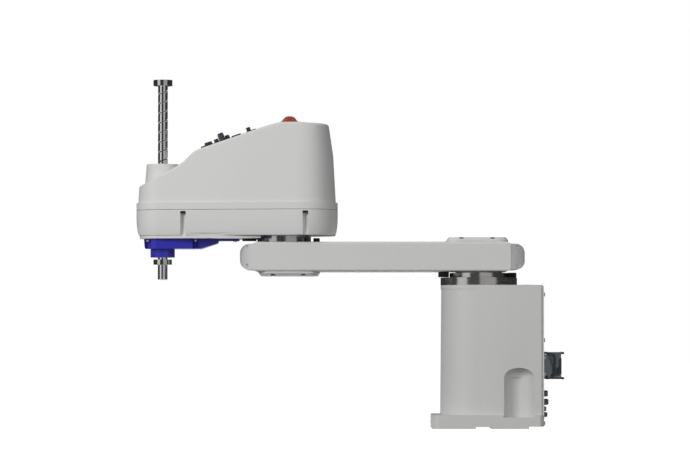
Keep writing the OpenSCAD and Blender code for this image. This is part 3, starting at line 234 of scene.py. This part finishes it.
def uneven(roughness, wave, less, spread):
    """A roughness that a wave moves over its spread, from a little less than its written value."""
    return roughness - less + wave * spread


# Finishes

def painted(name, color, roughness, peel, grain):
    """Sprayed paint on a casting: a soft orange peel over the sand-cast grain, with a faint mottle."""
    f = Finish(name)
    mottle = f.noise(scale=9, detail=3)
    fine = f.noise(scale=55, detail=4, shift=(0.3, 0.1, 0.7))
    tone = f.mottled((mottle * 0.6 + fine * 0.4).clamped(), color, dark=0.955, bright=1.035)
    peel_wave = f.noise(scale=420, detail=2)
    grain_wave = f.noise(scale=1900, detail=3, rough=0.6)
    f.set(base_color=tone, roughness=uneven(roughness, fine, less=0.05, spread=0.1))
    f.set(normal=f.bump(grain_wave, grain, under=f.bump(peel_wave, peel)), coat_weight=0.08, coat_roughness=0.3)
    return f.material


def moulded(name, color, roughness, grain):
    """Moulded plastic: a fine even spark-eroded grain and a slow flow mark."""
    f = Finish(name)
    flow = f.noise(scale=6, detail=2, stretch=(1, 1, 0.35))
    speck = f.noise(scale=1400, detail=2, rough=0.7)
    tone = f.mottled((flow * 0.8 + speck * 0.2).clamped(), color, dark=0.965, bright=1.03)
    f.set(base_color=tone, roughness=uneven(roughness, flow, less=0.04, spread=0.08), normal=f.bump(speck, grain))
    return f.material


def turned(name, color, roughness, axis_x):
    """Steel turned on a lathe about an upright axis at axis_x: fine rings on its faces and lines round its rim."""
    f = Finish(name)
    across = f.node("ShaderNodeCombineXYZ", {}, {"X": f.radius(axis_x), "Y": f.here().height() * (1 / MM)})
    lines = f.noise(scale=2.4, detail=3, at=across)
    cloud = f.noise(scale=30, detail=3)
    tone = f.mottled((lines * 0.5 + cloud * 0.5).clamped(), color, dark=0.55, bright=1.15)
    f.set(base_color=tone, metallic=1.0, roughness=uneven(roughness, lines, less=0.06, spread=0.14))
    f.set(normal=f.bump(lines, depth=0.006))
    return f.material


# Under this radius, in millimetres, the shaft's surface is a track, and the painted shade of the tracks sets in
# over this slope.
TRACK_EDGE_R = 9.85
TRACK_FADE = 2.5
# Colour of the painted shade in the shaft's tracks
TRACK_SHADE = shade(34, 32, 30)


def ground_shaft(name, color, roughness):
    """Hardened and ground steel: bright, with faint grinding marks, and painted shade that darkens the tracks."""
    f = Finish(name)
    in_track = ((TRACK_EDGE_R - f.radius(WRIST_X)) * TRACK_FADE).clamped()
    marks = f.noise(scale=1500, detail=2, stretch=(0.15, 0.15, 1))
    cloud = f.noise(scale=40, detail=2, stretch=(1, 1, 0.3))
    # The tracks are painted darker, as the shade that falls in them.
    tone = f.mix(in_track * 0.85, f.mottled(cloud, color, dark=0.9, bright=1.04), TRACK_SHADE)
    rough = uneven(roughness, marks, less=0.03, spread=0.07) + in_track * 0.15
    f.set(base_color=tone, metallic=1.0, roughness=rough, normal=f.bump(marks, depth=0.002))
    return f.material


def oxide(name, color, roughness, metallic):
    """Oxide on the steel of screws and stops: dull, with brown wear in its clouds."""
    f = Finish(name)
    cloud = f.noise(scale=160, detail=4)
    pits = f.noise(scale=2600, detail=2)
    tone = f.mix(cloud, scaled(color, 0.7), scaled(color, red=1.5, green=1.4, blue=1.25))
    f.set(base_color=tone, metallic=metallic, roughness=uneven(roughness, cloud, less=0.1, spread=0.2))
    f.set(normal=f.bump(pits, depth=0.01))
    return f.material


# The height, in metres, where the second arm's screws change their finish, and how sharply they do
SPLIT_Z = 0.396
SPLIT_SHARP = 4000.0


def two_screws(name, dark, bright):
    """Screws of one node in two finishes: plated ones below a height, blackened ones above it."""
    f = Finish(name)
    upper = ((f.here().height() - SPLIT_Z) * SPLIT_SHARP).clamped()
    cloud = f.noise(scale=160, detail=4)
    tone = f.mix(upper, bright, f.mottled(cloud, dark, dark=0.7, bright=1.4))
    f.set(base_color=tone, metallic=0.8, roughness=0.3 + cloud * 0.15, normal=f.bump(cloud, depth=0.01))
    return f.material


def lens(name, color):
    """Clear coloured lens of the lamp, with the ribs that spread its light inside."""
    f = Finish(name)
    rib = f.node("ShaderNodeTexWave", {"wave_type": "BANDS", "bands_direction": "X"},
                 {"Vector": f.place(), "Scale": 90.0})
    cloud = f.noise(scale=40, detail=2, stretch=(1, 1, 0), shift=(-LAMP_X, 0, 0))
    tone = f.mottled((rib * 0.5 + cloud * 0.3).clamped(), color, dark=0.72, bright=1.15)
    f.set(base_color=tone, roughness=0.34, coat_weight=0.06, coat_roughness=0.12, specular_ior_level=0.3)
    return f.material


def woven_board(name, color):
    """Circuit board: solder mask over a fine weave, with lighter tracks."""
    f = Finish(name)
    weave = f.node("ShaderNodeTexChecker", {}, {"Vector": f.place(), "Scale": 900.0}, "Fac")
    tracks = f.node("ShaderNodeTexBrick", {"offset": 0.5},
                    {"Vector": f.place(), "Scale": 120.0, "Mortar Size": 0.03}, "Fac")
    tone = f.mix(tracks, color, scaled(color, 1.9))
    f.set(base_color=tone, roughness=0.35 + tracks * 0.1, normal=f.bump(weave, depth=0.01))
    return f.material


PAINT = painted("cast_paint", shade(208, 208, 207), roughness=0.44, peel=0.02, grain=0.006)
PAINT_ARM = painted("arm_paint", shade(214, 214, 213), roughness=0.42, peel=0.02, grain=0.006)
MOTOR_PAINT = painted("motor_black", shade(30, 30, 32), roughness=0.5, peel=0.03, grain=0.012)
SLATE = painted("connector_grey", shade(120, 129, 133), roughness=0.42, peel=0.02, grain=0.01)

COVER = moulded("cover_plastic", shade(214, 214, 213), roughness=0.42, grain=0.004)
# The rear cap is the cover's plastic painted lighter, to make up for the shade on its sides that turn away from
# the key lamp.
CAP_PAINTED_LIGHTER = moulded("cap_plastic_painted_lighter", shade(236, 236, 235), roughness=0.42, grain=0.004)
BLUE = moulded("blue_plastic", shade(46, 44, 166), roughness=0.4, grain=0.006)
BLACK_PLASTIC = moulded("black_plastic", shade(33, 33, 33), roughness=0.42, grain=0.008)
JET = moulded("jet_plastic", shade(26, 26, 29), roughness=0.38, grain=0.006)
LEVER_GREY = moulded("lever_grey", shade(90, 95, 104), roughness=0.45, grain=0.006)
INSERT = moulded("insert_grey", shade(82, 86, 94), roughness=0.5, grain=0.01)
FITTING_BLACK = moulded("fitting_black", shade(48, 46, 42), roughness=0.32, grain=0.006)
FITTING_METAL = moulded("fitting_nickel", shade(68, 65, 57), roughness=0.28, grain=0.004)
SLEEVE_BLUE = moulded("release_blue", shade(26, 66, 170), roughness=0.35, grain=0.004)
SLEEVE_WHITE = moulded("release_white", shade(205, 203, 196), roughness=0.4, grain=0.004)
# Black rubber of the belts, also the finish of the strip painted as shade in the second arm's joint
RUBBER_AND_JOINT_SHADE = moulded("belt_rubber", shade(26, 26, 27), roughness=0.65, grain=0.02)
CABLE = moulded("cable_black", shade(24, 24, 25), roughness=0.5, grain=0.015)

STEEL_BASE = turned("ring_steel_at_the_first_axis", shade(186, 185, 183), roughness=0.16, axis_x=0.0)
STEEL_ELBOW = turned("ring_steel_at_the_second_axis", shade(180, 181, 183), roughness=0.16, axis_x=ELBOW_X)
STEEL_WRIST = turned("collar_steel_on_the_shaft", shade(196, 195, 192), roughness=0.11, axis_x=WRIST_X)
SHAFT_STEEL = ground_shaft("ground_shaft_steel", shade(205, 206, 208), roughness=0.12)
BLACK_STEEL = oxide("blackened_steel", shade(38, 38, 39), roughness=0.42, metallic=0.7)
ZINC = oxide("zinc_plated_screws", shade(150, 150, 148), roughness=0.36, metallic=0.9)
ARM2_SCREW_STEEL = two_screws("screws_of_the_second_arm", dark=shade(38, 38, 39), bright=shade(196, 188, 168))

BOARD = woven_board("board_green", shade(20, 92, 48))
ORANGE = lens("lamp_orange", shade(160, 54, 6))


# Tools for the pieces: lengths in millimetres, angles in degrees

SAME_POINT = 0.002
FLAT_TURN = 0.4
EDGE_TURN = 35
EDGE_STEPS = 2
RIM_TURN = 50
RIM_STEPS = 3
ON_LEVEL = 0.05
SMOOTH_TURN = 32
CUT_NEAR = 0.0001

BODY_OF = {n: b for b, members in frame["record"]["behaviour"]["bodies"].items() for n in members}


def points(geom):
    """The points among the new geometry that an operator gives back."""
    return [v for v in geom if isinstance(v, bmesh.types.BMVert)]


def ring_pairs(items):
    """Each item of a closed ring with the next one."""
    return zip(items, items[1:] + items[:1])


def welded(node):
    """A bmesh of a solid with its loose triangles joined."""
    bm = bmesh.new()
    bm.from_mesh(frame["nodes"][node].data)
    bmesh.ops.remove_doubles(bm, verts=bm.verts, dist=SAME_POINT * MM)
    return bm


def joined(node):
    """A bmesh of a solid with its triangles joined and its flat faces whole."""
    bm = welded(node)
    bmesh.ops.dissolve_limit(bm, angle_limit=math.radians(FLAT_TURN), verts=bm.verts, edges=bm.edges)
    return bm


def cut(bm, at, square_to, only=False):
    """Cuts a bmesh along a plane and gives the points of the cut. With only, nothing else is left."""
    return points(bmesh.ops.bisect_plane(
        bm, geom=[*bm.verts, *bm.edges, *bm.faces], dist=CUT_NEAR * MM, plane_co=at, plane_no=square_to,
        clear_inner=only, clear_outer=only)["geom_cut"])


def sharp_edges(bm, turn):
    limit = math.radians(turn)
    return [e for e in bm.edges if len(e.link_faces) == 2 and e.calc_face_angle(0) > limit]


def soften(bm, width, turn=EDGE_TURN):
    """Breaks the sharp edges to a small radius, as a casting, a moulding or a deburred part has."""
    bmesh.ops.bevel(bm, geom=sharp_edges(bm, turn), offset=width * MM, offset_type="OFFSET", affect="EDGES",
                    segments=EDGE_STEPS, profile=0.5, material=-1, clamp_overlap=True)


def break_rim(bm, z, width):
    """Rounds the outer edge of a solid where its wall meets the level face at height z."""
    middle = sum((v.co for v in bm.verts), Vector()) / len(bm.verts)
    rim = []
    for edge in sharp_edges(bm, RIM_TURN):
        a, b = (v.co for v in edge.verts)
        wall = min((f.normal for f in edge.link_faces), key=lambda n: abs(n.z))
        if max(abs(a.z - z), abs(b.z - z)) < ON_LEVEL * MM and wall.dot((a + b) / 2 - middle) > 0:
            rim.append(edge)
    bmesh.ops.bevel(bm, geom=rim, offset=width * MM, offset_type="OFFSET", affect="EDGES", segments=RIM_STEPS,
                    profile=0.5, material=-1, clamp_overlap=False)


def revolve(bm, line, centre, axis, steps):
    """Turns a line, which starts and ends on an axis, all the way round it into a closed shape."""
    line = [bm.verts.new(at) for at in line]
    edges = [bm.edges.new(pair) for pair in zip(line, line[1:])]
    bmesh.ops.spin(bm, geom=[*line, *edges], cent=centre, axis=axis, angle=2 * math.pi, steps=steps,
                   use_merge=True)
    bmesh.ops.remove_doubles(bm, verts=bm.verts, dist=SAME_POINT * MM)
    bmesh.ops.recalc_face_normals(bm, faces=bm.faces)


def meshed(name, bm, material):
    """A mesh from a finished bmesh, with its one material."""
    mesh = bpy.data.meshes.new(name)
    bm.to_mesh(mesh)
    bm.free()
    mesh.materials.append(material)
    return mesh


def piece(name, bm, material, body, slot, *nodes, smooth=SMOOTH_TURN):
    """Links a finished mesh as a piece that rides on a body and stands for its nodes."""
    mesh = meshed(name, bm, material)
    mesh.shade_smooth()
    mesh.set_sharp_from_angle(angle=math.radians(smooth))
    made = added(name, mesh)
    # Normals weighted by area keep a wall flat next to its rounded edge.
    even = made.modifiers.new("even_shading", "WEIGHTED_NORMAL")
    even.keep_sharp = True
    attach(made, body)
    if nodes:
        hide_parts(*nodes)


def dressed(node, material, slot, width, smooth=SMOOTH_TURN, rim=None):
    """Stands for a node with the same solid, its edges broken, under its own finish."""
    bm = joined(node)
    if rim:
        break_rim(bm, *rim)
    soften(bm, width)
    piece(node + "_finished", bm, material, BODY_OF[node], slot, node, smooth=smooth)


# Each solid that shows: its finish, the record's slot and the radius of its edges in millimetres

SHOWN = [
    ("base_casting", PAINT, "casting_paint", 1.6),
    ("base_rear_panel", PAINT, "casting_paint", 0.6),
    ("base_top_plug", PAINT, "casting_paint", 0.4),
    ("arm1_casting", PAINT_ARM, "casting_paint", 0.8),
    ("arm1_top_cover", PAINT_ARM, "casting_paint", 0.6),
    ("arm1_bottom_cover", PAINT_ARM, "casting_paint", 0.6),
    ("arm1_front_cap", COVER, "cover_plastic", 0.9),
    # The rear cap's colour is painted lighter than the front cap's, against the shade on its sides.
    ("arm1_rear_cap", CAP_PAINTED_LIGHTER, "cover_plastic", 0.9),
    ("arm2_casting", PAINT_ARM, "casting_paint", 0.9),
    ("arm2_cover", COVER, "cover_plastic", 1.0),
    ("arm2_bottom_cover", BLUE, "blue_plastic", 1.0),
    ("connector_housing", SLATE, "connector_grey", 0.4),
    ("connector_insert", INSERT, "connector_grey", 0.3),
    ("connector_lever", LEVER_GREY, "black_plastic", 0.4),
    ("base_air_fittings", FITTING_METAL, "black_plastic", 0.3),
    ("arm_air_fittings", FITTING_METAL, "black_plastic", 0.3),
    ("base_bearing_ring", STEEL_BASE, "ground_steel", 0.4),
    ("turning_flange", STEEL_BASE, "ground_steel", 0.4),
    ("first_stop", BLACK_STEEL, "black_oxide", 0.4),
    ("first_stop_block", BLACK_STEEL, "black_oxide", 0.4),
    ("elbow_flange", STEEL_ELBOW, "ground_steel", 0.4),
    ("elbow_stop_bolts", BLACK_STEEL, "black_oxide", 0.3),
    ("elbow_stop_block", BLACK_STEEL, "black_oxide", 0.3),
    ("arm1_screws", BLACK_STEEL, "black_oxide", 0.2),
    ("arm2_screws", ARM2_SCREW_STEEL, "black_oxide", 0.2),
    ("panel_screws", ZINC, "ground_steel", 0.2),
    ("user_panel", BLACK_PLASTIC, "black_plastic", 0.3),
    ("signal_connector", FITTING_BLACK, "black_plastic", 0.3),
    ("brake_button", FITTING_BLACK, "black_plastic", 0.5),
    ("lamp_base", COVER, "cover_plastic", 0.3),
    ("upper_stop_collar", STEEL_WRIST, "ground_steel", 0.4),
    ("lower_stop_collar", STEEL_WRIST, "ground_steel", 0.4),
]
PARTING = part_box("arm2_cover")[0].z
# The height and the radius of a broken rim, and the angle past which a solid's faces meet in a crease
RIMS = {"arm2_casting": (PARTING, 1.7), "arm2_cover": (PARTING, 0.7)}
CREASED = {"arm2_casting": 14}
for node, material, slot, width in SHOWN:
    dressed(node, material, slot, width, smooth=CREASED.get(node, SMOOTH_TURN), rim=RIMS.get(node))


# Dark strip round the second arm, painted as the shade in its joint

def outline_at(node, z):
    """The longest closed outline of a node's section at height z, as points in order."""
    bm = welded(node)
    cut(bm, (0, 0, z), (0, 0, 1), only=True)
    loops = []
    passed = set()
    for first in bm.verts:
        loop = []
        ahead = [first]
        while ahead := [v for v in ahead if v not in passed]:
            at = ahead[0]
            passed.add(at)
            loop.append(at.co.copy())
            ahead = [e.other_vert(at) for e in at.link_edges]
        loops.append(loop)
    bm.free()
    return max(loops, key=lambda loop: sum((a - b).length for a, b in zip(loop, loop[1:])))


def make_joint_shade_strip(name, node, z, below, half, sunk, depth):
    """A dark strip that paints the shade in the joint between two parts that meet at height z, sunk a little under
    their outer skin.

    It follows the node's outline a little below z. Its lengths are in millimetres."""
    line = outline_at(node, z - below * MM)
    turning = sum(a.x * b.y - a.y * b.x for a, b in ring_pairs(line))
    if turning < 0:
        line.reverse()
    corners = ((-sunk, -half), (-sunk, half), (-sunk - depth, half), (-sunk - depth, -half))
    bm = bmesh.new()
    rows = []
    for before, (at, after) in zip(line[-1:] + line[:-1], ring_pairs(line)):
        along = (after - before).normalized()
        out = Vector((along.y, -along.x, 0))
        rows.append([bm.verts.new((at.x + out.x * r * MM, at.y + out.y * r * MM, z + h * MM)) for r, h in corners])
    for near, far in ring_pairs(rows):
        for (a, b), (c, d) in zip(ring_pairs(near), ring_pairs(far)):
            bm.faces.new((a, c, d, b))
    bmesh.ops.recalc_face_normals(bm, faces=bm.faces)
    # The strip takes the black rubber finish to paint the shade in the joint's gap.
    piece(name, bm, RUBBER_AND_JOINT_SHADE, BODY_OF[node], "black_plastic")


make_joint_shade_strip("arm2_joint_shade_strip", "arm2_casting", PARTING, below=2.0, half=0.45, sunk=0.35, depth=1.2)


# Ball screw spline shaft, in millimetres

SHAFT_R = 10.0
SHAFT_HOLE_R = 7.0
SHAFT_SIDES = 120
SLICE = 0.7
END_CHAMFER = 0.5
AT_END = 0.1
GROOVE_AT = [math.radians(a) for a in (90, 210, 330)]
GROOVE_HALF = 1.45
GROOVE_DEPTH = 1.1
LEAD = 20.0
THREAD_HALF = 1.25
THREAD_DEPTH = 1.0
RELIEF_FROM = 31.0
RELIEF_TO = 33.0
RELIEF_DEPTH = 0.5
PLAIN_FOOT = 84.1
PLAIN_HEAD = 13.7
SHAFT_SMOOTH = 50


def track(offset, half, depth):
    """Depth of a round-bottomed ball track at a distance from its middle."""
    share = abs(offset) / half
    return depth * math.sqrt(1 - share * share) if share < 1 else 0.0


def shaft_radius(angle, height, length):
    """Radius of the shaft at an angle and a height over its lower end."""
    if RELIEF_FROM < height < RELIEF_TO:
        return SHAFT_R - RELIEF_DEPTH
    if height < PLAIN_FOOT or height > length - PLAIN_HEAD:
        return SHAFT_R
    turn = min(abs(math.remainder(angle - a, 2 * math.pi)) for a in GROOVE_AT)
    thread = math.remainder(height - LEAD * angle / (2 * math.pi), LEAD)
    groove_depth = track(turn * SHAFT_R, GROOVE_HALF, GROOVE_DEPTH)
    return SHAFT_R - max(groove_depth, track(thread, THREAD_HALF, THREAD_DEPTH))


def set_radius(v, r):
    """Moves a point straight out from the shaft's axis, or in to it, to a radius in metres."""
    x, y = v.co.x - WRIST_X, v.co.y
    now = math.hypot(x, y)
    v.co.x, v.co.y = WRIST_X + x / now * r, y / now * r


def make_shaft():
    low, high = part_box("shaft")
    length = (high.z - low.z) / MM
    bm = bmesh.new()
    bmesh.ops.create_circle(bm, cap_ends=False, radius=SHAFT_R * MM, segments=SHAFT_SIDES)
    bmesh.ops.translate(bm, vec=(WRIST_X, 0, low.z), verts=bm.verts)
    grown = bmesh.ops.extrude_edge_only(bm, edges=list(bm.edges))["geom"]
    bmesh.ops.translate(bm, vec=(0, 0, high.z - low.z), verts=points(grown))
    upright = [e for e in bm.edges if abs(e.verts[0].co.z - e.verts[1].co.z) > MM]
    bmesh.ops.subdivide_edges(bm, edges=upright, cuts=round(length / SLICE), use_grid_fill=True)
    for v in bm.verts:
        r = shaft_radius(math.atan2(v.co.y, v.co.x - WRIST_X), (v.co.z - low.z) / MM, length)
        if min(v.co.z - low.z, high.z - v.co.z) < AT_END * MM:
            r -= END_CHAMFER
        set_radius(v, r * MM)
    ends = [e for e in bm.edges if e.is_boundary]
    for end in (low.z, high.z):
        ring = [e for e in ends if abs(e.verts[0].co.z - end) < AT_END * MM]
        for v in points(bmesh.ops.extrude_edge_only(bm, edges=ring)["geom"]):
            set_radius(v, SHAFT_HOLE_R * MM)
    bmesh.ops.bridge_loops(bm, edges=[e for e in bm.edges if e.is_boundary])
    bmesh.ops.recalc_face_normals(bm, faces=bm.faces)
    piece("shaft_finished", bm, SHAFT_STEEL, BODY_OF["shaft"], "shaft_steel", "shaft", smooth=SHAFT_SMOOTH)


make_shaft()


# Trim of the power connector, in millimetres: each point is its distance behind the panel and its height over
# the connector's middle

PANEL_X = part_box("connector_housing")[1].x
SOCKET_Z = 128.0
RAIL_HALF = 50.0
LEVER_HALF = 50.4
LET_IN = 0.3
STRIP_PROUD = 0.7
BAR_PROUD = 0.9
TRIM_EDGE = 0.3
TRIM_TURN = 50

BAR_BEHIND = 17.4
BAR_UPPER = 16.0
BAR_LOWER = -15.0
BAR_OUTER_R = 8.6
BAR_INNER_R = 3.2
ARC_STEPS = 6


def arc(v, r, first, last):
    """Points of a bend of the lever's side bar, round a middle at height v."""
    turns = [math.radians(first + (last - first) * i / ARC_STEPS) for i in range(ARC_STEPS + 1)]
    return [(BAR_BEHIND + r * math.cos(t), v + r * math.sin(t)) for t in turns]


SIDE_BAR = (arc(BAR_UPPER, BAR_OUTER_R, 90, 0) + arc(BAR_LOWER, BAR_OUTER_R, 0, -80)
            + arc(BAR_LOWER, BAR_INNER_R, -80, 0) + arc(BAR_UPPER, BAR_INNER_R, 0, 90))
TOP_STRIP = [(6.6, 24.0), (6.6, 26.6), (17.6, 26.6), (17.6, 24.0)]
GRIP_STRIP = [(31.4, -13.0), (33.4, -17.0), (37.4, -17.0), (37.4, 15.0), (33.4, 15.0), (31.4, 11.0)]
FOOT_STRIP = [(7.0, -27.2), (7.0, -24.0), (42.0, -24.0), (42.0, -27.2)]

BEADS_BEHIND = (7.6, 40.6)
BEAD_UP = 25.6
BEAD_R = 2.3
BEAD_HALF = 1.0
BEAD_SIDES = 24


def plate(bm, line, side, half, proud):
    """A flat plate on one side of the connector, let into its face and a little proud of it."""
    inner = side * (half - LET_IN) * MM
    face = bm.faces.new([bm.verts.new((PANEL_X - u * MM, inner, (SOCKET_Z + v) * MM)) for u, v in line])
    grown = bmesh.ops.extrude_face_region(bm, geom=[face])["geom"]
    bmesh.ops.translate(bm, vec=(0, side * (proud + LET_IN) * MM, 0), verts=points(grown))


def bead(bm, u, v, side, half):
    """A round bead at the end of a rail."""
    made = bmesh.ops.create_cone(bm, cap_ends=True, segments=BEAD_SIDES, radius1=BEAD_R * MM, radius2=BEAD_R * MM,
                                 depth=2 * BEAD_HALF * MM)["verts"]
    bmesh.ops.rotate(bm, cent=(0, 0, 0), matrix=Matrix.Rotation(math.pi / 2, 3, "X"), verts=made)
    bmesh.ops.translate(bm, vec=(PANEL_X - u * MM, side * half * MM, (SOCKET_Z + v) * MM), verts=made)


def make_connector_trim():
    """Black side bars, strips and beads of the lever, and the strips and beads of the shell's rail."""
    lever = bmesh.new()
    shell = bmesh.new()
    for side in (1, -1):
        plate(lever, SIDE_BAR, side, LEVER_HALF, BAR_PROUD)
        plate(lever, TOP_STRIP, side, LEVER_HALF, STRIP_PROUD)
        plate(lever, GRIP_STRIP, side, LEVER_HALF, STRIP_PROUD)
        plate(shell, FOOT_STRIP, side, RAIL_HALF, STRIP_PROUD)
        for u in BEADS_BEHIND:
            bead(lever, u, BEAD_UP, side, LEVER_HALF)
            bead(shell, u, -BEAD_UP, side, RAIL_HALF)
    for bm in (lever, shell):
        bmesh.ops.recalc_face_normals(bm, faces=bm.faces)
        soften(bm, TRIM_EDGE, TRIM_TURN)
    piece("lever_side_bars", lever, JET, BODY_OF["connector_lever"], "black_plastic")
    piece("shell_rail_caps", shell, JET, BODY_OF["connector_housing"], "black_plastic")


# A screw's radius at each distance behind the panel, and the screws' places to the side and over the middle
SCREW_LINE = [(0.0, 0.6), (2.1, 0.6), (2.1, 2.5), (3.1, 2.5), (3.1, 4.0), (2.5, 4.9), (1.1, 5.2), (0.0, 5.2)]
SCREW_SIDE = 51.0
SCREW_UP = 16.0
SCREW_SIDES = 24


def make_flange_screws():
    """Pan head screws that hold the connector's flange to the panel, one in each of its four holes."""
    bm = bmesh.new()
    for y in (-SCREW_SIDE * MM, SCREW_SIDE * MM):
        for z in ((SOCKET_Z - SCREW_UP) * MM, (SOCKET_Z + SCREW_UP) * MM):
            line = [(PANEL_X - u * MM, y + r * MM, z) for r, u in SCREW_LINE]
            revolve(bm, line, (PANEL_X, y, z), (1, 0, 0), SCREW_SIDES)
    piece("connector_flange_screws", bm, STEEL_BASE, BODY_OF["connector_housing"], "ground_steel")


make_connector_trim()
make_flange_screws()


# Flanges on the user panel: where each stands along the arm, its length and its half width, in millimetres

PANEL_FLANGES = {"signal_flange": (558.0, 26.0, 16.0), "spare_port_plate": (497.7, 20.0, 26.0),
                 "button_flange": (466.8, 20.0, 12.0)}
FLANGE_SHOWS = 4.8
FLANGE_EDGE = 0.8
FLANGE_TURN = 40
LOOKS_UP = 0.5


def make_panel_flanges():
    """Low black flanges that stand on the sloped panel and show a little above the rim of the cover."""
    panel = joined("user_panel")
    top = max((f for f in panel.faces if f.normal.z > LOOKS_UP), key=lambda f: f.calc_area())
    seat, up = top.calc_center_median(), top.normal.copy()
    panel.free()
    along = Vector((up.z, 0, -up.x))
    for name, (x, length, half) in PANEL_FLANGES.items():
        start = seat + along * ((x * MM - seat.x) / along.x)
        cover = joined("arm2_cover")
        rim = max((v.co - seat).dot(up) for v in cut(cover, start, along))
        cover.free()
        bm = bmesh.new()
        bmesh.ops.create_cube(bm, size=1)
        tall = rim + FLANGE_SHOWS * MM
        for v in bm.verts:
            a, b, c = v.co.x * length * MM, v.co.y * 2 * half * MM, (v.co.z + 0.5) * tall
            v.co = start + along * a + Vector((0, b, 0)) + up * c
        bmesh.ops.recalc_face_normals(bm, faces=bm.faces)
        soften(bm, FLANGE_EDGE, FLANGE_TURN)
        piece(name, bm, BLACK_PLASTIC, BODY_OF["user_panel"], "black_plastic")


make_panel_flanges()


# Lens of the lamp: its radius at each height over its foot, in millimetres

LENS_LINE = [(0.0, 0.0), (16.9, 0.0), (16.9, 3.8), (15.8, 4.8), (14.3, 6.6), (12.6, 9.0), (10.5, 11.4),
             (8.0, 13.2), (4.6, 14.3), (0.0, 14.7)]
LENS_SIDES = 72
LENS_SMOOTH = 40


def make_lens():
    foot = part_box("lamp_lens")[0].z
    bm = bmesh.new()
    line = [(LAMP_X + r * MM, 0, foot + h * MM) for r, h in LENS_LINE]
    revolve(bm, line, (LAMP_X, 0, 0), (0, 0, 1), LENS_SIDES)
    piece("lamp_lens_finished", bm, ORANGE, BODY_OF["lamp_lens"], "lamp_orange", "lamp_lens", smooth=LENS_SMOOTH)


make_lens()


# Release collars of the air fittings

BLUE_COLLAR = (SLEEVE_BLUE, "release_blue", 0.2)
WHITE_COLLAR = (SLEEVE_WHITE, "release_white", 0.2)
for i in (1, 2, 3, 4):
    dressed(f"base_collar_{i}", *(BLUE_COLLAR if i % 2 == 0 else WHITE_COLLAR))
for i in (1, 2, 3):
    dressed(f"arm_collar_{i}", *BLUE_COLLAR)


# Each solid inside the housings keeps its own mesh and gets its finish.

INSIDE = {
    "first_motor": MOTOR_PAINT, "first_gear_ring": STEEL_BASE, "first_rotor": STEEL_BASE, "arm1_cables": CABLE,
    "second_motor": MOTOR_PAINT, "second_rotor": STEEL_ELBOW, "motor_bridge": PAINT_ARM, "lift_motor": MOTOR_PAINT,
    "lift_brake": BLACK_STEEL, "roll_motor": MOTOR_PAINT, "nut_housing": PAINT_ARM, "nut_bearings": STEEL_WRIST,
    "control_board": BOARD, "lift_belt": RUBBER_AND_JOINT_SHADE, "roll_belt": RUBBER_AND_JOINT_SHADE, "lift_pulley": STEEL_WRIST,
    "roll_pulley": STEEL_WRIST, "screw_nut": STEEL_WRIST, "spline_nut": STEEL_WRIST,
}
for node, material in INSIDE.items():
    solid = frame["nodes"][node]
    solid.data.materials.clear()
    solid.data.materials.append(material)


# Floor, backdrop and light, in metres

BLACK = grey(0.0)
WHITE = grey(1.0)
CENTRE = (0.27, 0.0, 0.4)
FLOOR_HALF = 14
FLOOR_AT = (0, -8, -0.0002)
AMBIENT = 0.22


def make_floor():
    f = Finish("pale_floor")
    glow = f.mix(f.seen_directly(), BLACK, WHITE)
    f.set(base_color=grey(0.12), roughness=0.9, emission_color=glow, emission_strength=1.0, specular_ior_level=0.0)
    bm = bmesh.new()
    bmesh.ops.create_grid(bm, x_segments=2, y_segments=2, size=FLOOR_HALF)
    floor = added("floor", meshed("floor", bm, f.material))
    floor.location = FLOOR_AT


def make_world():
    """A room that lights the object softly and is white where it is seen directly."""
    world = bpy.data.worlds.new("white_room")
    world.use_nodes = True
    bpy.context.scene.world = world
    room = Nodes(world.node_tree)
    back = world.node_tree.nodes["Background"]
    room.feed(back.inputs["Color"], WHITE)
    room.feed(back.inputs["Strength"], room.seen_directly() * (1 - AMBIENT) + AMBIENT)


def lamp(name, at, size, power):
    """A square soft lamp that looks at the middle of the object."""
    data = bpy.data.lights.new(name, "AREA")
    data.shape = "SQUARE"
    data.size = size
    data.energy = power
    made = added(name, data)
    made.location = at
    made.rotation_euler = aimed(at, CENTRE)
    # Polished metal shows the white room between the flags, not the lamp's own square.
    made.visible_glossy = False


FLAG_AWAY = 4.2
FLAG_FOOT = -0.1
FLAG_TALL = 3.0
FLAG_STEPS = 24


def flag(name, first, last, glow):
    """A curved flag round the set that only polished surfaces see, so that metal has dark bands.

    It runs from the first to the last angle, in degrees from straight in front towards the arm's end."""
    f = Finish(name)
    f.set(base_color=grey(0.01), roughness=1.0, specular_ior_level=0.0)
    f.set(emission_color=WHITE, emission_strength=glow)
    bm = bmesh.new()
    turn = math.radians(first)
    foot = Vector((CENTRE[0] + FLAG_AWAY * math.sin(turn), CENTRE[1] + FLAG_AWAY * math.cos(turn), FLAG_FOOT))
    edge = bm.edges.new((bm.verts.new(foot), bm.verts.new(foot + Vector((0, 0, FLAG_TALL)))))
    bmesh.ops.spin(bm, geom=[edge, *edge.verts], cent=CENTRE, axis=(0, 0, 1), angle=-math.radians(last - first),
                   steps=FLAG_STEPS)
    hung = added(name, meshed(name, bm, f.material))
    hung.visible_camera = False
    hung.visible_diffuse = False
    hung.visible_shadow = False


make_floor()
make_world()
lamp("key", (2.45, 2.7, 1.65), size=1.5, power=85)
lamp("fill", (-1.7, 2.9, 1.0), size=1.6, power=23)
lamp("top", (0.3, 0.2, 3.2), size=2.0, power=3)
flag("flag_in_front", -5, 34, glow=0.05)
flag("flag_behind", 68, 306, glow=0.05)
flag("grey_flag", 306, 355, glow=0.6)

bpy.context.scene.view_settings.view_transform = "Standard"
